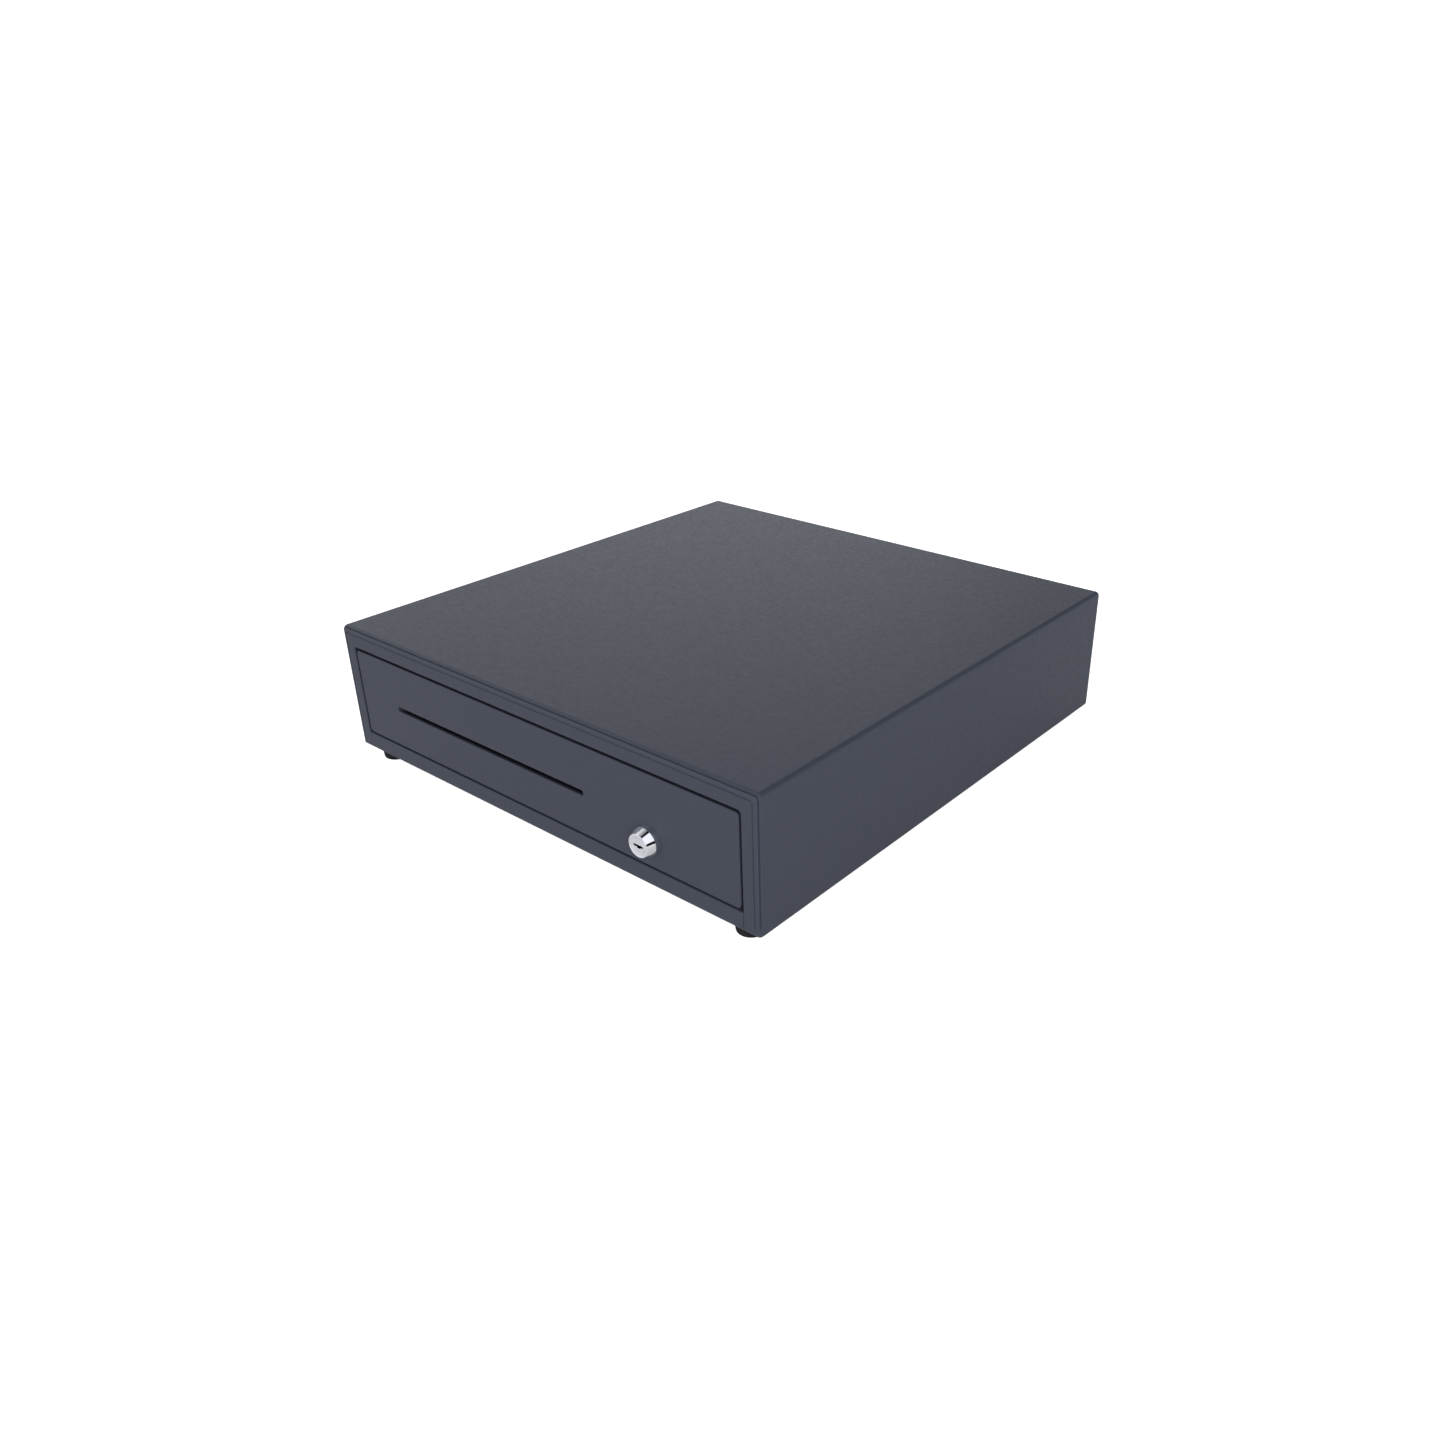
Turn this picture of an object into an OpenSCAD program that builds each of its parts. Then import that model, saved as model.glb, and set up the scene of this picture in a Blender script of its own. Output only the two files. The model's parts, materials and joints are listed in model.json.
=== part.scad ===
// Point-of-sale cash drawer: a steel case on rubber feet, with a drawer on ball slides, a till,
// a key lock with a release rod, and a magnet latch with a kick-out plunger behind the drawer.
// Origin: middle of the footprint at the underside of the feet. X right, Y to the back, Z up.

/* [Case] */
// Width of the steel case
case_w = 410; // [400:1:430]
// Depth of the steel case, front rim to back edge
case_d = 415; // [405:1:435]
// Height of the steel case without its feet
case_h = 99; // [98:0.5:106]
// Thickness of the case sheet
sheet = 1; // [0.8:0.1:1.2]
// Outer bend radius of the long top edges
top_bend = 3.5; // [2:0.5:5]
// Outer bend radius between the front rim and the top and sides
rim_bend = 4.5; // [2:0.5:6]
// Outer bend radius along the bottom edges
bottom_bend = 2.5; // [1.5:0.5:3.5]

/* [Front opening] */
// Width of the rim on each side of the opening
rim_side = 13.5; // [12:0.5:15]
// Height of the rim above the opening
rim_top = 14.3; // [12:0.1:16]
// Height of the rim below the opening
rim_bottom = 13.5; // [12:0.5:14.5]
// Depth of the lip folded in round the opening
lip_depth = 8; // [5:1:10]
// Gap between the drawer front and the rim
front_gap = 1.25; // [1:0.05:2]

/* [Feet] */
// Height of the rubber feet
foot_h = 10; // [8:0.5:12]
// Radius of a foot where it stands
foot_r = 10; // [8:0.5:11]
// Distance of a foot's centre from the side
foot_from_side = 21; // [20:0.5:24]
// Distance of a foot's centre from the front or back
foot_from_end = 15.5; // [15:0.5:20]

/* [Drawer] */
// Sheet thickness of the drawer front
front_t = 1.2; // [1:0.1:1.5]
// Depth of the folded edges of the drawer front
front_fold = 14; // [10:1:16]
// Length of the drawer pan
pan_l = 352; // [345:1:354]
// Height of the drawer pan
pan_h = 62; // [56:1:64]
// Length of the media slot
slot_l = 200.8; // [150:0.1:210]
// Height of the media slot
slot_h = 4; // [3:0.5:5]
// Middle of the slot, measured from the middle of the front
slot_x = -45.7; // [-50:0.1:-40]
// Middle of the slot above the underside of the case
slot_up = 47.2; // [46:0.1:49]

/* [Ball slides] */
// Height of the outer member
slide_h = 35; // [34:0.5:36]
// Thickness of a closed slide
slide_t = 10; // [10:0.1:10.4]
// Length of the slide members
slide_l = 350; // [340:1:350]
// Thickness of the slide steel
slide_steel = 1.2; // [1.1:0.05:1.2]
// Diameter of the slide balls
ball_d = 3; // [2.8:0.1:3]
// Balls in each row of a cage
balls_per_row = 7; // [4:1:9]

/* [Till] */
// Height of the till
till_h = 42; // [38:1:43]
// Wall thickness of the till
till_wall = 2; // [1.6:0.2:2.4]
// Length of the note compartments
note_l = 198; // [190:1:200]
// Number of note compartments
notes = 5; // [4:1:5]
// Coin cups from side to side
cups_across = 4; // [3:1:5]
// Coin cups from front to back
cups_deep = 2; // [2:1:3]
// Length of a note clip's arm, pivot to presser
clip_arm = 70; // [60:1:72]

/* [Key lock] */
// Lock axis from the middle of the front
lock_x = 113; // [105:0.5:118]
// Lock axis above the underside of the case
lock_up = 34.5; // [34:0.5:36]
// How far the lock nose stands out
lock_out = 9; // [6:0.5:12]
// Radius of the lock nose
nose_r = 9.2; // [8.5:0.1:10]
// Radius of the key plug
plug_r = 5.5; // [5:0.1:6]
// Radius of the release rod
rod_r = 2.5; // [2:0.25:2.5]

/* [Latch] */
// Turn of the hook between released and engaged
hook_turn = 14; // [10:1:14]
// Distance of the hook pivot behind the pan
hook_back = 36; // [35:0.5:37]
// Height of the hook pivot above the underside of the case
hook_up = 46; // [45.5:0.5:47]
// Sheet thickness of the latch bracket
bracket_t = 1.5; // [1.2:0.1:1.5]

/* [Fasteners] */
// Radius of the screw shanks
screw_r = 1.95; // [1.5:0.05:2]
// Height of a screw head on the outside of the case
head_h = 2; // [1.5:0.1:2.2]

/* [Hidden] */
$fn = 64;

steel_black = "#3f424b";
steel_plain = "#a9abb0";
steel_zinc = "#c6c8cc";
plastic_black = "#1d1e21";
rubber_black = "#17171a";
chrome_bright = "#e4e6ea";
brass = "#c5a355";
copper = "#a8603a";
left = -1;
right = 1;
over = 1;
mm_touch = 0.01;

// Case
length_all = case_d + lock_out + head_h;
y_nose = -length_all / 2;
y_front = y_nose + lock_out;
y_back = y_front + case_d;
z_case = foot_h;
z_top = z_case + case_h;
x_in = case_w / 2 - sheet;
open_x = case_w / 2 - rim_side;
open_lo = z_case + rim_bottom;
open_hi = z_top - rim_top;
flange_w = 10;
joggle = 1;
base_x = open_x - 0.1;
lap_x = x_in - bottom_bend;
lap_z = z_case + 2 * sheet;
y_panel = y_back - 2 * sheet;
rear_lip_h = 15;
rear_lip_y = y_panel - sheet;

// Feet and screws
foot_x = case_w / 2 - foot_from_side;
foot_top_r = foot_r + 1.3;
foot_edge_r = 1.5;
foot_recess_r = 5;
foot_recess_h = foot_h / 2;
head_r = 3.8;
shank_l = 6;
base_screw_x = 198;
base_screw_y = [y_front + 54, y_front + 204, y_front + 344];
rear_screw_x = [-120, 0, 120];
rear_screw_top = z_top - 5;
rear_screw_low = z_case + 8;
rear_screw_side = case_w / 2 - 5;

// Drawer front and pan
front_x = open_x - front_gap;
front_lo = open_lo + front_gap;
front_hi = open_hi - front_gap;
front_corner_r = 2.5;
front_bend = 1.2;
y_pan = y_front + front_t;
top_fold = 26;
y_pan_back = y_pan + pan_l;
pan_sheet = 1;
pan_lo = front_lo + front_t + 0.05;
pan_hi = pan_lo + pan_h;
slot_z = z_case + slot_up;
slot_x0 = slot_x - slot_l / 2;
slot_x1 = slot_x + slot_l / 2;
slot_corner_r = 1;
stud_r = 2;
stud_l = 7;
nut_t = 3.2;
nut_r = 4.04;

// Ball slides: measured from the bracket (u = 0) to the pan (u = slide_t), about the slide's middle
slide_x = open_x - 1;
pan_x = slide_x - slide_t;
slide_y = y_front + front_fold + 2;
slide_z = z_case + 48;
row_gap = ball_d + 0.2;
outer_lip_z = slide_h / 2 - slide_steel;
middle_out_z = outer_lip_z - row_gap;
middle_lip_z = middle_out_z - slide_steel;
inner_out_z = middle_lip_z - row_gap;
inner_lip_z = inner_out_z - slide_steel;
middle_u0 = slide_steel + 0.4;
channel_end_u = 8.2;
inner_u0 = 3.4;
bead_w = 0.8;
bead_h = 0.9;
outer_row_u = 4.9;
inner_row_u = 5.8;
cage_w = 4.2;
cage_t = 0.6;
cage_l = 150;
cage_y = slide_y + 88;
ball_play = 0.1;
bracket_steel = 1.5;
bracket_l = 355;
bracket_top = slide_z + 22;
bracket_foot_x = 203;
slide_screw_y = [slide_y + 30, slide_y + 170, slide_y + 320];

// Till
till_y0 = y_front + 28;
till_y1 = y_pan_back - 8;
till_x = pan_x - pan_sheet - 2;
ledge_z = z_case + 38;
till_z1 = ledge_z + till_h;
till_floor = ledge_z + till_wall;
note_y0 = till_y1 - till_wall - note_l;
note_pitch = (2 * till_x - till_wall) / notes;
divider_h = till_h - 2;
tray_x = till_x - till_wall - 0.5;
tray_y0 = till_y0 + till_wall + 0.5;
tray_y1 = note_y0 - till_wall - 0.5;
tray_z1 = till_z1 - 0.5;
cup_wall = 2;
cup_floor = 2;
cup_w = (2 * tray_x - cup_wall) / cups_across - cup_wall;
cup_l = (tray_y1 - tray_y0 - cup_wall) / cups_deep - cup_wall;

// Note clips
axle_r = 2.5;
axle_y = till_y1 - 10;
axle_z = till_z1 - 6;
clip_w = 22;
clip_hub_r = 5;
clip_foot_r = 5;
clip_drop = asin((axle_z - till_floor - clip_foot_r - 0.6) / clip_arm);
clip_bar_t = 2.4;
run_play = 0.05;
clip_coil_r = 3.5;
clip_wire_r = 0.4;

// Key lock and release rod
lock_z = z_case + lock_up;
body_r = 8;
body_back = y_front + 17;
lock_nut_t = 4;
lock_nut_r = 12.7;
key_w = 8;
key_t = 1.6;
coupler_r = 6.5;
coupler_y0 = body_back + 0.3;
coupler_y1 = till_y0 - 1.5;
spigot_r = 4;
spigot_l = 4;
finger_y0 = y_pan_back + 5;
finger_t = 4;
finger_reach = 12;
finger_r = 3;
bush_r = 4;

// Latch: profiles are (y, z) from the hook pivot, drawn with the hook engaged
hook_y = y_pan_back + hook_back;
hook_z = z_case + hook_up;
hook_x = 30;
hook_t = 3;
cheek_gap = 29;
pin_r = 3;
hub_r = 4.5;
hub_play = 0.2;
nose_y = hook_y - 27;
shelf_z = z_case + 34;
tail_l = 14.5;
core_y = hook_y + 10.7;
core_r = 4;
core_top = hook_z - 7.4;
clapper_z = core_top + 0.4;
spring_off = 13.6;
spring_top = hook_z + 26;
spring_seat = spring_top - 17.7;
bar_x1 = lock_x + 6;
deck_z = z_case + sheet + bracket_t;
deck_y0 = y_pan_back + 8;
deck_y1 = rear_lip_y - 0.5;
deck_x0 = -62;
deck_x1 = 96;
bracket_screw_at = [
    [deck_x0 + 6, deck_y1 - 8], [deck_x1 - 6, deck_y1 - 8],
    [deck_x1 - 6, deck_y0 + 22], [deck_x0 + 68, deck_y0 + 6]
];
kick_x = -30;
kick_z = z_case + 34.5;
kick_cup_r = 6.9;
kick_tube_r = 10;
kick_bore_r = 8;
kick_y0 = y_pan_back + 10;
kick_back = rear_lip_y - 0.6;
coil_r = 9;
coil_z0 = deck_z + 2;
coil_z1 = z_case + 32;
socket_x = 118;
socket_z = z_case + 28;
socket_w = 16;
socket_h = 14;
socket_l = 16;
lead_r = 1.5;
lead_y = hook_y - 4;
lead_bend = 6;
bumper_r = 5;
bumper_z = z_case + 26;
bumper_x = [-55, 56];
switch_x0 = 68;
switch_x1 = 88;
switch_z0 = z_case + 20;
switch_z1 = switch_z0 + 6.4;
switch_y0 = y_pan_back + 10;
switch_y1 = switch_y0 + 10;
lever_x = switch_x0 + 2;
lever_y = switch_y0 - 1.6;
roller_r = 2;

// Box between two corners
module block(low, high) {
    translate(low)
        cube(high - low);
}

// Rectangle between two corners
module patch(low, high) {
    translate(low)
        square(high - low);
}

// Rectangle with round corners, radii listed from the lower left, anticlockwise
module round_patch(low, high, radii) {
    at = [low, [high[0], low[1]], high, [low[0], high[1]]];
    inward = [[1, 1], [-1, 1], [-1, -1], [1, -1]];
    difference() {
        patch(low, high);
        for (i = [0 : 3])
            if (radii[i] > 0)
                translate(at[i] + inward[i] * radii[i] / 2)
                    square(radii[i], center = true);
    }
    for (i = [0 : 3])
        if (radii[i] > 0)
            translate(at[i] + inward[i] * radii[i])
                circle(radii[i]);
}

// Extrudes an (x, y) outline between two heights
module along_z(z0, z1) {
    translate([0, 0, z0])
        linear_extrude(z1 - z0)
            children();
}

// Extrudes an (x, z) outline from y0 back to y1
module along_y(y0, y1) {
    translate([0, y1, 0])
        rotate([90, 0, 0])
            linear_extrude(y1 - y0)
                children();
}

// Extrudes a (y, z) outline from x0 across to x1
module along_x(x0, x1) {
    translate([x0, 0, 0])
        rotate([90, 0, 90])
            linear_extrude(x1 - x0)
                children();
}

module bar_x(x0, x1, y, z, r) {
    translate([x0, y, z])
        rotate([0, 90, 0])
            cylinder(h = x1 - x0, r = r);
}

module bar_y(y0, y1, x, z, r) {
    translate([x, y1, z])
        rotate([90, 0, 0])
            cylinder(h = y1 - y0, r = r);
}

module bar_z(z0, z1, x, y, r) {
    translate([x, y, z0])
        cylinder(h = z1 - z0, r = r);
}

module both_sides() {
    children();
    mirror([1, 0, 0])
        children();
}

// Cross-slotted screw: head standing on z = 0, shank hanging below it
module screw(r, length, top_r, top_h) {
    slot_w = 0.9;
    difference() {
        union() {
            translate([0, 0, -length])
                cylinder(h = length, r = r);
            cylinder(h = top_h * 0.55, r = top_r);
            translate([0, 0, top_h * 0.55])
                cylinder(h = top_h * 0.45, r1 = top_r, r2 = top_r * 0.72);
        }
        for (turn = [0, 90])
            rotate([0, 0, turn])
                translate([-top_r * 0.5, -slot_w / 2, top_h * 0.4])
                    cube([top_r, slot_w, top_h]);
    }
}

// Six-sided nut along Z with its underside at z = 0
module nut(across_r, thickness, bore_r) {
    difference() {
        cylinder(h = thickness, r = across_r, $fn = 6);
        translate([0, 0, -over])
            cylinder(h = thickness + 2 * over, r = bore_r);
    }
}

// Height reached by a spring wire after some turns, with one closed turn at each end
function coil_rise(turn, turns, length, wire) =
    turn < 1 ? wire * (1 + 2 * turn)
    : turn > turns - 1 ? length - wire * (1 + 2 * (turns - turn))
    : 3 * wire + (length - 6 * wire) * (turn - 1) / (turns - 2);

// Helical spring standing on z = 0
module coil_spring(radius, wire, turns, length) {
    steps = 16;
    sides = 8;
    rings = turns * steps;
    points = [
        for (i = [0 : rings])
            for (k = [0 : sides - 1])
                let (a = 360 * i / steps, b = 360 * k / sides, reach = radius + wire * cos(b))
                    [reach * cos(a), reach * sin(a),
                     coil_rise(i / steps, turns, length, wire) + wire * sin(b)]
    ];
    skin = [
        for (i = [0 : rings - 1])
            for (k = [0 : sides - 1])
                let (n = (k + 1) % sides, here = i * sides, next = here + sides)
                    [here + k, next + k, next + n, here + n]
    ];
    first = [for (k = [0 : sides - 1]) k];
    last = [for (k = [sides - 1 : -1 : 0]) rings * sides + k];
    polyhedron(points = points, faces = concat([first], skin, [last]), convexity = 10);
}

/* ---- case ---- */

// Outer form of the case, moved in from every face by inset
module case_form(inset, y1) {
    x = case_w / 2 - inset;
    z0 = z_case + inset;
    z1 = z_top - inset;
    y0 = y_front + inset;
    low_r = bottom_bend - inset;
    top_r = top_bend - inset;
    rim_r = rim_bend - inset;
    intersection() {
        along_y(y0, y1)
            round_patch([-x, z0], [x, z1], [low_r, low_r, top_r, top_r]);
        along_x(-x, x)
            round_patch([y0, z0], [y1, z1], [low_r, 0, 0, rim_r]);
        along_z(z0, z1)
            round_patch([-x, y0], [x, y1], [rim_r, rim_r, 0, 0]);
    }
}

module cover() {
    color(steel_black) {
        difference() {
            case_form(0, y_back);
            case_form(sheet, y_back - sheet);
            // drawer opening and the open underside between the bottom flanges
            block([-open_x, y_front - over, z_case - over], [open_x, y_front + sheet + over, open_hi]);
            block([-open_x, y_front, z_case - over], [open_x, y_back + over, z_case + sheet + mm_touch]);
            // open back inside the rear flange
            block([-case_w / 2 + flange_w, y_back - 2 * sheet, z_case - over],
                  [case_w / 2 - flange_w, y_back + over, z_top - flange_w]);
            both_sides() {
                for (y = base_screw_y)
                    bar_z(z_case - over, z_case + sheet + over, base_screw_x, y, screw_r);
                bar_y(y_back - 2, y_back + over, rear_screw_side, slide_z, screw_r);
            }
            for (x = rear_screw_x)
                bar_y(y_back - 2, y_back + over, x, rear_screw_top, screw_r);
        }
        // lips folded in round the opening
        block([-open_x - sheet, y_front + sheet, open_hi],
              [open_x + sheet, y_front + lip_depth, open_hi + sheet]);
        both_sides()
            block([open_x, y_front + sheet, lap_z + 2], [open_x + sheet, y_front + lip_depth, open_hi]);
    }
}

module base_plate() {
    color(steel_black)
        difference() {
            union() {
                along_x(-base_x, base_x)
                    difference() {
                        round_patch([y_front, z_case], [rear_lip_y + sheet, open_lo],
                                    [bottom_bend, 0, 0, sheet]);
                        round_patch([y_front + sheet, z_case + sheet], [rear_lip_y, open_lo - sheet],
                                    [bottom_bend - sheet, 0, 0, 0]);
                        patch([y_front + lip_depth, z_case + sheet], [rear_lip_y, open_lo + over]);
                        patch([rear_lip_y - over, z_case + rear_lip_h],
                              [rear_lip_y + 2 * sheet, open_lo + over]);
                    }
                both_sides()
                    block([base_x - joggle, y_front + lip_depth + 2, z_case + sheet],
                          [lap_x, rear_lip_y, lap_z]);
            }
            both_sides() {
                for (y = base_screw_y)
                    bar_z(z_case, lap_z + over, base_screw_x, y, screw_r);
                for (y = [y_front + foot_from_end, y_back - foot_from_end])
                    bar_z(z_case - over, z_case + 2 * sheet + over, foot_x, y, screw_r);
            }
            for (at = bracket_screw_at)
                bar_z(z_case - over, z_case + sheet + over, at[0], at[1], screw_r);
            for (x = rear_screw_x)
                bar_y(rear_lip_y - over, rear_lip_y + 2 * sheet, x, rear_screw_low, screw_r);
        }
}

module rear_panel() {
    color(steel_black)
        difference() {
            block([-x_in + 1, y_panel, lap_z], [x_in - 1, y_panel + sheet, z_top - sheet - top_bend]);
            block([socket_x - 6.5, y_panel - over, socket_z - 5.5],
                  [socket_x + 6.5, y_panel + 2 * sheet, socket_z + 5.5]);
            for (x = rear_screw_x)
                for (z = [rear_screw_top, rear_screw_low])
                    bar_y(y_panel - over, y_panel + 2 * sheet, x, z, screw_r);
            both_sides()
                bar_y(y_panel - over, y_panel + 2 * sheet, rear_screw_side, slide_z, screw_r);
        }
}

module foot(side, y) {
    color(rubber_black)
        translate([side * foot_x, y, 0])
            rotate_extrude()
                difference() {
                    union() {
                        polygon([[0, 0], [foot_r - foot_edge_r, 0], [foot_r, foot_edge_r],
                                 [foot_top_r, foot_h], [0, foot_h]]);
                        translate([foot_r - foot_edge_r, foot_edge_r])
                            circle(foot_edge_r);
                    }
                    patch([-foot_r, -over], [0, foot_h + over]);
                    patch([0, -over], [foot_recess_r, foot_recess_h]);
                    patch([0, -over], [screw_r, foot_h + over]);
                }
}

module foot_screws() {
    color(steel_zinc)
        both_sides()
            for (y = [y_front + foot_from_end, y_back - foot_from_end])
                translate([foot_x, y, foot_recess_h])
                    rotate([180, 0, 0])
                        screw(screw_r, foot_h - foot_recess_h + shank_l, head_r, 2.4);
}

module rear_screws() {
    color(steel_black) {
        for (x = rear_screw_x) {
            translate([x, y_back, rear_screw_top])
                rotate([-90, 0, 0])
                    screw(screw_r, shank_l, head_r, head_h);
            translate([x, y_back - sheet, rear_screw_low])
                rotate([-90, 0, 0])
                    screw(screw_r, shank_l, head_r, head_h);
        }
        both_sides()
            translate([rear_screw_side, y_back, slide_z])
                rotate([-90, 0, 0])
                    screw(screw_r, shank_l, head_r, head_h);
    }
}

module base_screws() {
    color(steel_black)
        both_sides()
            for (y = base_screw_y)
                translate([base_screw_x, y, z_case])
                    rotate([180, 0, 0])
                        screw(screw_r, shank_l + 2, head_r, head_h);
}

/* ---- ball slides ---- */

// Places a profile drawn from the bracket inwards, on the left or the right of the drawer
module on_side(side) {
    translate([side * slide_x, 0, slide_z])
        if (side == right)
            mirror([1, 0, 0])
                children();
        else
            children();
}

// Draws the lower half of a slide profile as well
module top_and_bottom() {
    children();
    mirror([0, 1])
        children();
}

module slide_bracket(side) {
    color(steel_plain)
        on_side(side)
            difference() {
                along_y(slide_y - 2, slide_y - 2 + bracket_l) {
                    patch([-bracket_steel, lap_z - slide_z], [0, bracket_top - slide_z]);
                    patch([slide_x - bracket_foot_x, lap_z - slide_z],
                          [0, lap_z - slide_z + bracket_steel]);
                    patch([slide_x - bracket_foot_x + 2, bracket_top - slide_z - bracket_steel],
                          [0, bracket_top - slide_z]);
                }
                for (y = base_screw_y)
                    bar_z(lap_z - slide_z - over, lap_z - slide_z + bracket_steel + over,
                          slide_x - base_screw_x, y, screw_r);
            }
}

module slide_outer(side) {
    color(steel_zinc)
        on_side(side)
            along_y(slide_y, slide_y + slide_l) {
                patch([0, -slide_h / 2], [slide_steel, slide_h / 2]);
                top_and_bottom() {
                    patch([0, outer_lip_z], [channel_end_u, slide_h / 2]);
                    patch([channel_end_u - bead_w, outer_lip_z - bead_h], [channel_end_u, slide_h / 2]);
                }
            }
}

module slide_middle(side) {
    color(steel_zinc)
        on_side(side)
            along_y(slide_y, slide_y + slide_l) {
                patch([middle_u0, -middle_out_z], [middle_u0 + slide_steel, middle_out_z]);
                top_and_bottom() {
                    patch([middle_u0, middle_lip_z], [channel_end_u, middle_out_z]);
                    patch([middle_u0, middle_out_z], [middle_u0 + bead_w, middle_out_z + bead_h]);
                    patch([channel_end_u - bead_w, middle_lip_z - bead_h], [channel_end_u, middle_lip_z]);
                }
            }
}

module slide_inner(side) {
    color(steel_zinc)
        on_side(side)
            difference() {
                along_y(slide_y, slide_y + slide_l) {
                    patch([slide_t - slide_steel, -inner_out_z], [slide_t, inner_out_z]);
                    top_and_bottom() {
                        patch([inner_u0, inner_lip_z], [slide_t, inner_out_z]);
                        patch([inner_u0, inner_out_z], [inner_u0 + bead_w, inner_out_z + bead_h]);
                    }
                }
                for (y = slide_screw_y)
                    bar_x(slide_t - 2 * slide_steel, slide_t + over, y, 0, screw_r);
            }
}

// One cage: an upper and a lower strip, each with a row of loose balls
module ball_cage(side, u, row_z) {
    pitch = cage_l / balls_per_row;
    on_side(side)
        for (half = [0, 1])
            mirror([0, 0, half]) {
                color(brass)
                    difference() {
                        block([u - cage_w / 2, cage_y, row_z - cage_t / 2],
                              [u + cage_w / 2, cage_y + cage_l, row_z + cage_t / 2]);
                        for (i = [0 : balls_per_row - 1])
                            bar_z(row_z - over, row_z + over, u, cage_y + (i + 0.5) * pitch,
                                  ball_d / 2 + ball_play);
                    }
                color(chrome_bright)
                    for (i = [0 : balls_per_row - 1])
                        translate([u, cage_y + (i + 0.5) * pitch, row_z])
                            sphere(d = ball_d, $fn = 32);
            }
}

module outer_cage(side) {
    ball_cage(side, outer_row_u, outer_lip_z - row_gap / 2);
}

module inner_cage(side) {
    ball_cage(side, inner_row_u, middle_lip_z - row_gap / 2);
}

/* ---- drawer ---- */

// Outer form of the drawer front, moved in from every face by inset
module front_form(inset, y1) {
    x = front_x - inset;
    z0 = front_lo + inset;
    z1 = front_hi - inset;
    y0 = y_front + inset;
    corner = max(front_corner_r - inset, 0.2);
    bend = max(front_bend - inset, 0);
    intersection() {
        along_y(y0, y1)
            round_patch([-x, z0], [x, z1], [corner, corner, corner, corner]);
        along_x(-x, x)
            round_patch([y0, z0], [y1, z1], [bend, 0, 0, bend]);
        along_z(z0, z1)
            round_patch([-x, y0], [x, y1], [bend, bend, 0, 0]);
    }
}

// The four welded studs that carry the drawer front
module at_studs() {
    both_sides()
        for (z = [slide_z - 22, slide_z + 22])
            translate([pan_x + 4, y_pan, z])
                rotate([-90, 0, 0])
                    children();
}

module drawer_front() {
    color(steel_black) {
        difference() {
            front_form(0, y_front + top_fold);
            front_form(front_t, y_front + top_fold + over);
            // only the top edge is folded the whole way back
            block([-front_x - over, y_front + front_fold, front_lo - over],
                  [front_x + over, y_front + top_fold + over, front_hi - front_t - front_corner_r]);
            along_y(y_front - over, y_pan + over)
                round_patch([slot_x0, slot_z - slot_h / 2], [slot_x1, slot_z + slot_h / 2],
                            [slot_corner_r, slot_corner_r, slot_corner_r, slot_corner_r]);
            bar_y(y_front - over, y_pan + over, lock_x, lock_z, body_r);
        }
        at_studs()
            cylinder(h = stud_l, r = stud_r);
    }
}

module front_nuts() {
    color(steel_zinc)
        at_studs()
            translate([0, 0, pan_sheet])
                nut(nut_r, nut_t, stud_r);
}

module drawer_pan() {
    color(steel_plain)
        difference() {
            union() {
                difference() {
                    block([-pan_x, y_pan, pan_lo], [pan_x, y_pan_back, pan_hi]);
                    block([-pan_x + pan_sheet, y_pan - over, pan_lo + pan_sheet],
                          [pan_x - pan_sheet, y_pan_back - pan_sheet, pan_hi + over]);
                }
                both_sides()
                    block([pan_x - pan_sheet, y_pan, pan_lo + 4], [pan_x + 8, y_pan + pan_sheet, pan_hi]);
            }
            at_studs()
                cylinder(h = stud_l, r = stud_r);
            both_sides()
                for (y = slide_screw_y)
                    bar_x(pan_x - 2, pan_x + over, y, slide_z, screw_r);
            bar_y(y_pan_back - 2, y_pan_back + over, lock_x, lock_z, bush_r);
        }
}

module slide_screws() {
    color(steel_zinc)
        both_sides()
            for (y = slide_screw_y)
                translate([pan_x - pan_sheet, y, slide_z])
                    rotate([0, -90, 0])
                        screw(screw_r, pan_sheet + slide_steel + 0.4, head_r, 1.4);
}

// Sheet chute that leads from the slot to the space under the till
module slot_chute() {
    wall = 1;
    y0 = y_pan;
    y1 = till_y0 - 1;
    gap = slot_h / 2 + 0.2;
    fall = slot_z - ledge_z + gap + wall + 0.8;
    color(steel_black)
        difference() {
            along_x(slot_x0 - wall, slot_x1 + wall) {
                polygon([
                    [y0, slot_z + gap + 6], [y0, slot_z - gap - 6], [y0 + wall, slot_z - gap - 6],
                    [y0 + wall, slot_z - gap - wall], [y1, slot_z - gap - wall - fall],
                    [y1, slot_z + gap + wall - fall], [y0 + 2 * wall, slot_z + gap + wall],
                    [y0 + wall, slot_z + gap + 6]
                ]);
            }
            along_x(slot_x0, slot_x1)
                polygon([
                    [y0 - over, slot_z - gap], [y0 + wall, slot_z - gap], [y1 + over, slot_z - gap - fall],
                    [y1 + over, slot_z + gap - fall], [y0 + wall, slot_z + gap], [y0 - over, slot_z + gap]
                ]);
        }
}

module till_ledges() {
    ledge_w = 13.5;
    color(steel_plain)
        both_sides()
            along_y(till_y0, till_y1)
                translate([pan_x - pan_sheet, 0]) {
                    patch([-pan_sheet, ledge_z - 12], [0, ledge_z]);
                    patch([-ledge_w, ledge_z - pan_sheet], [0, ledge_z]);
                }
}

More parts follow.
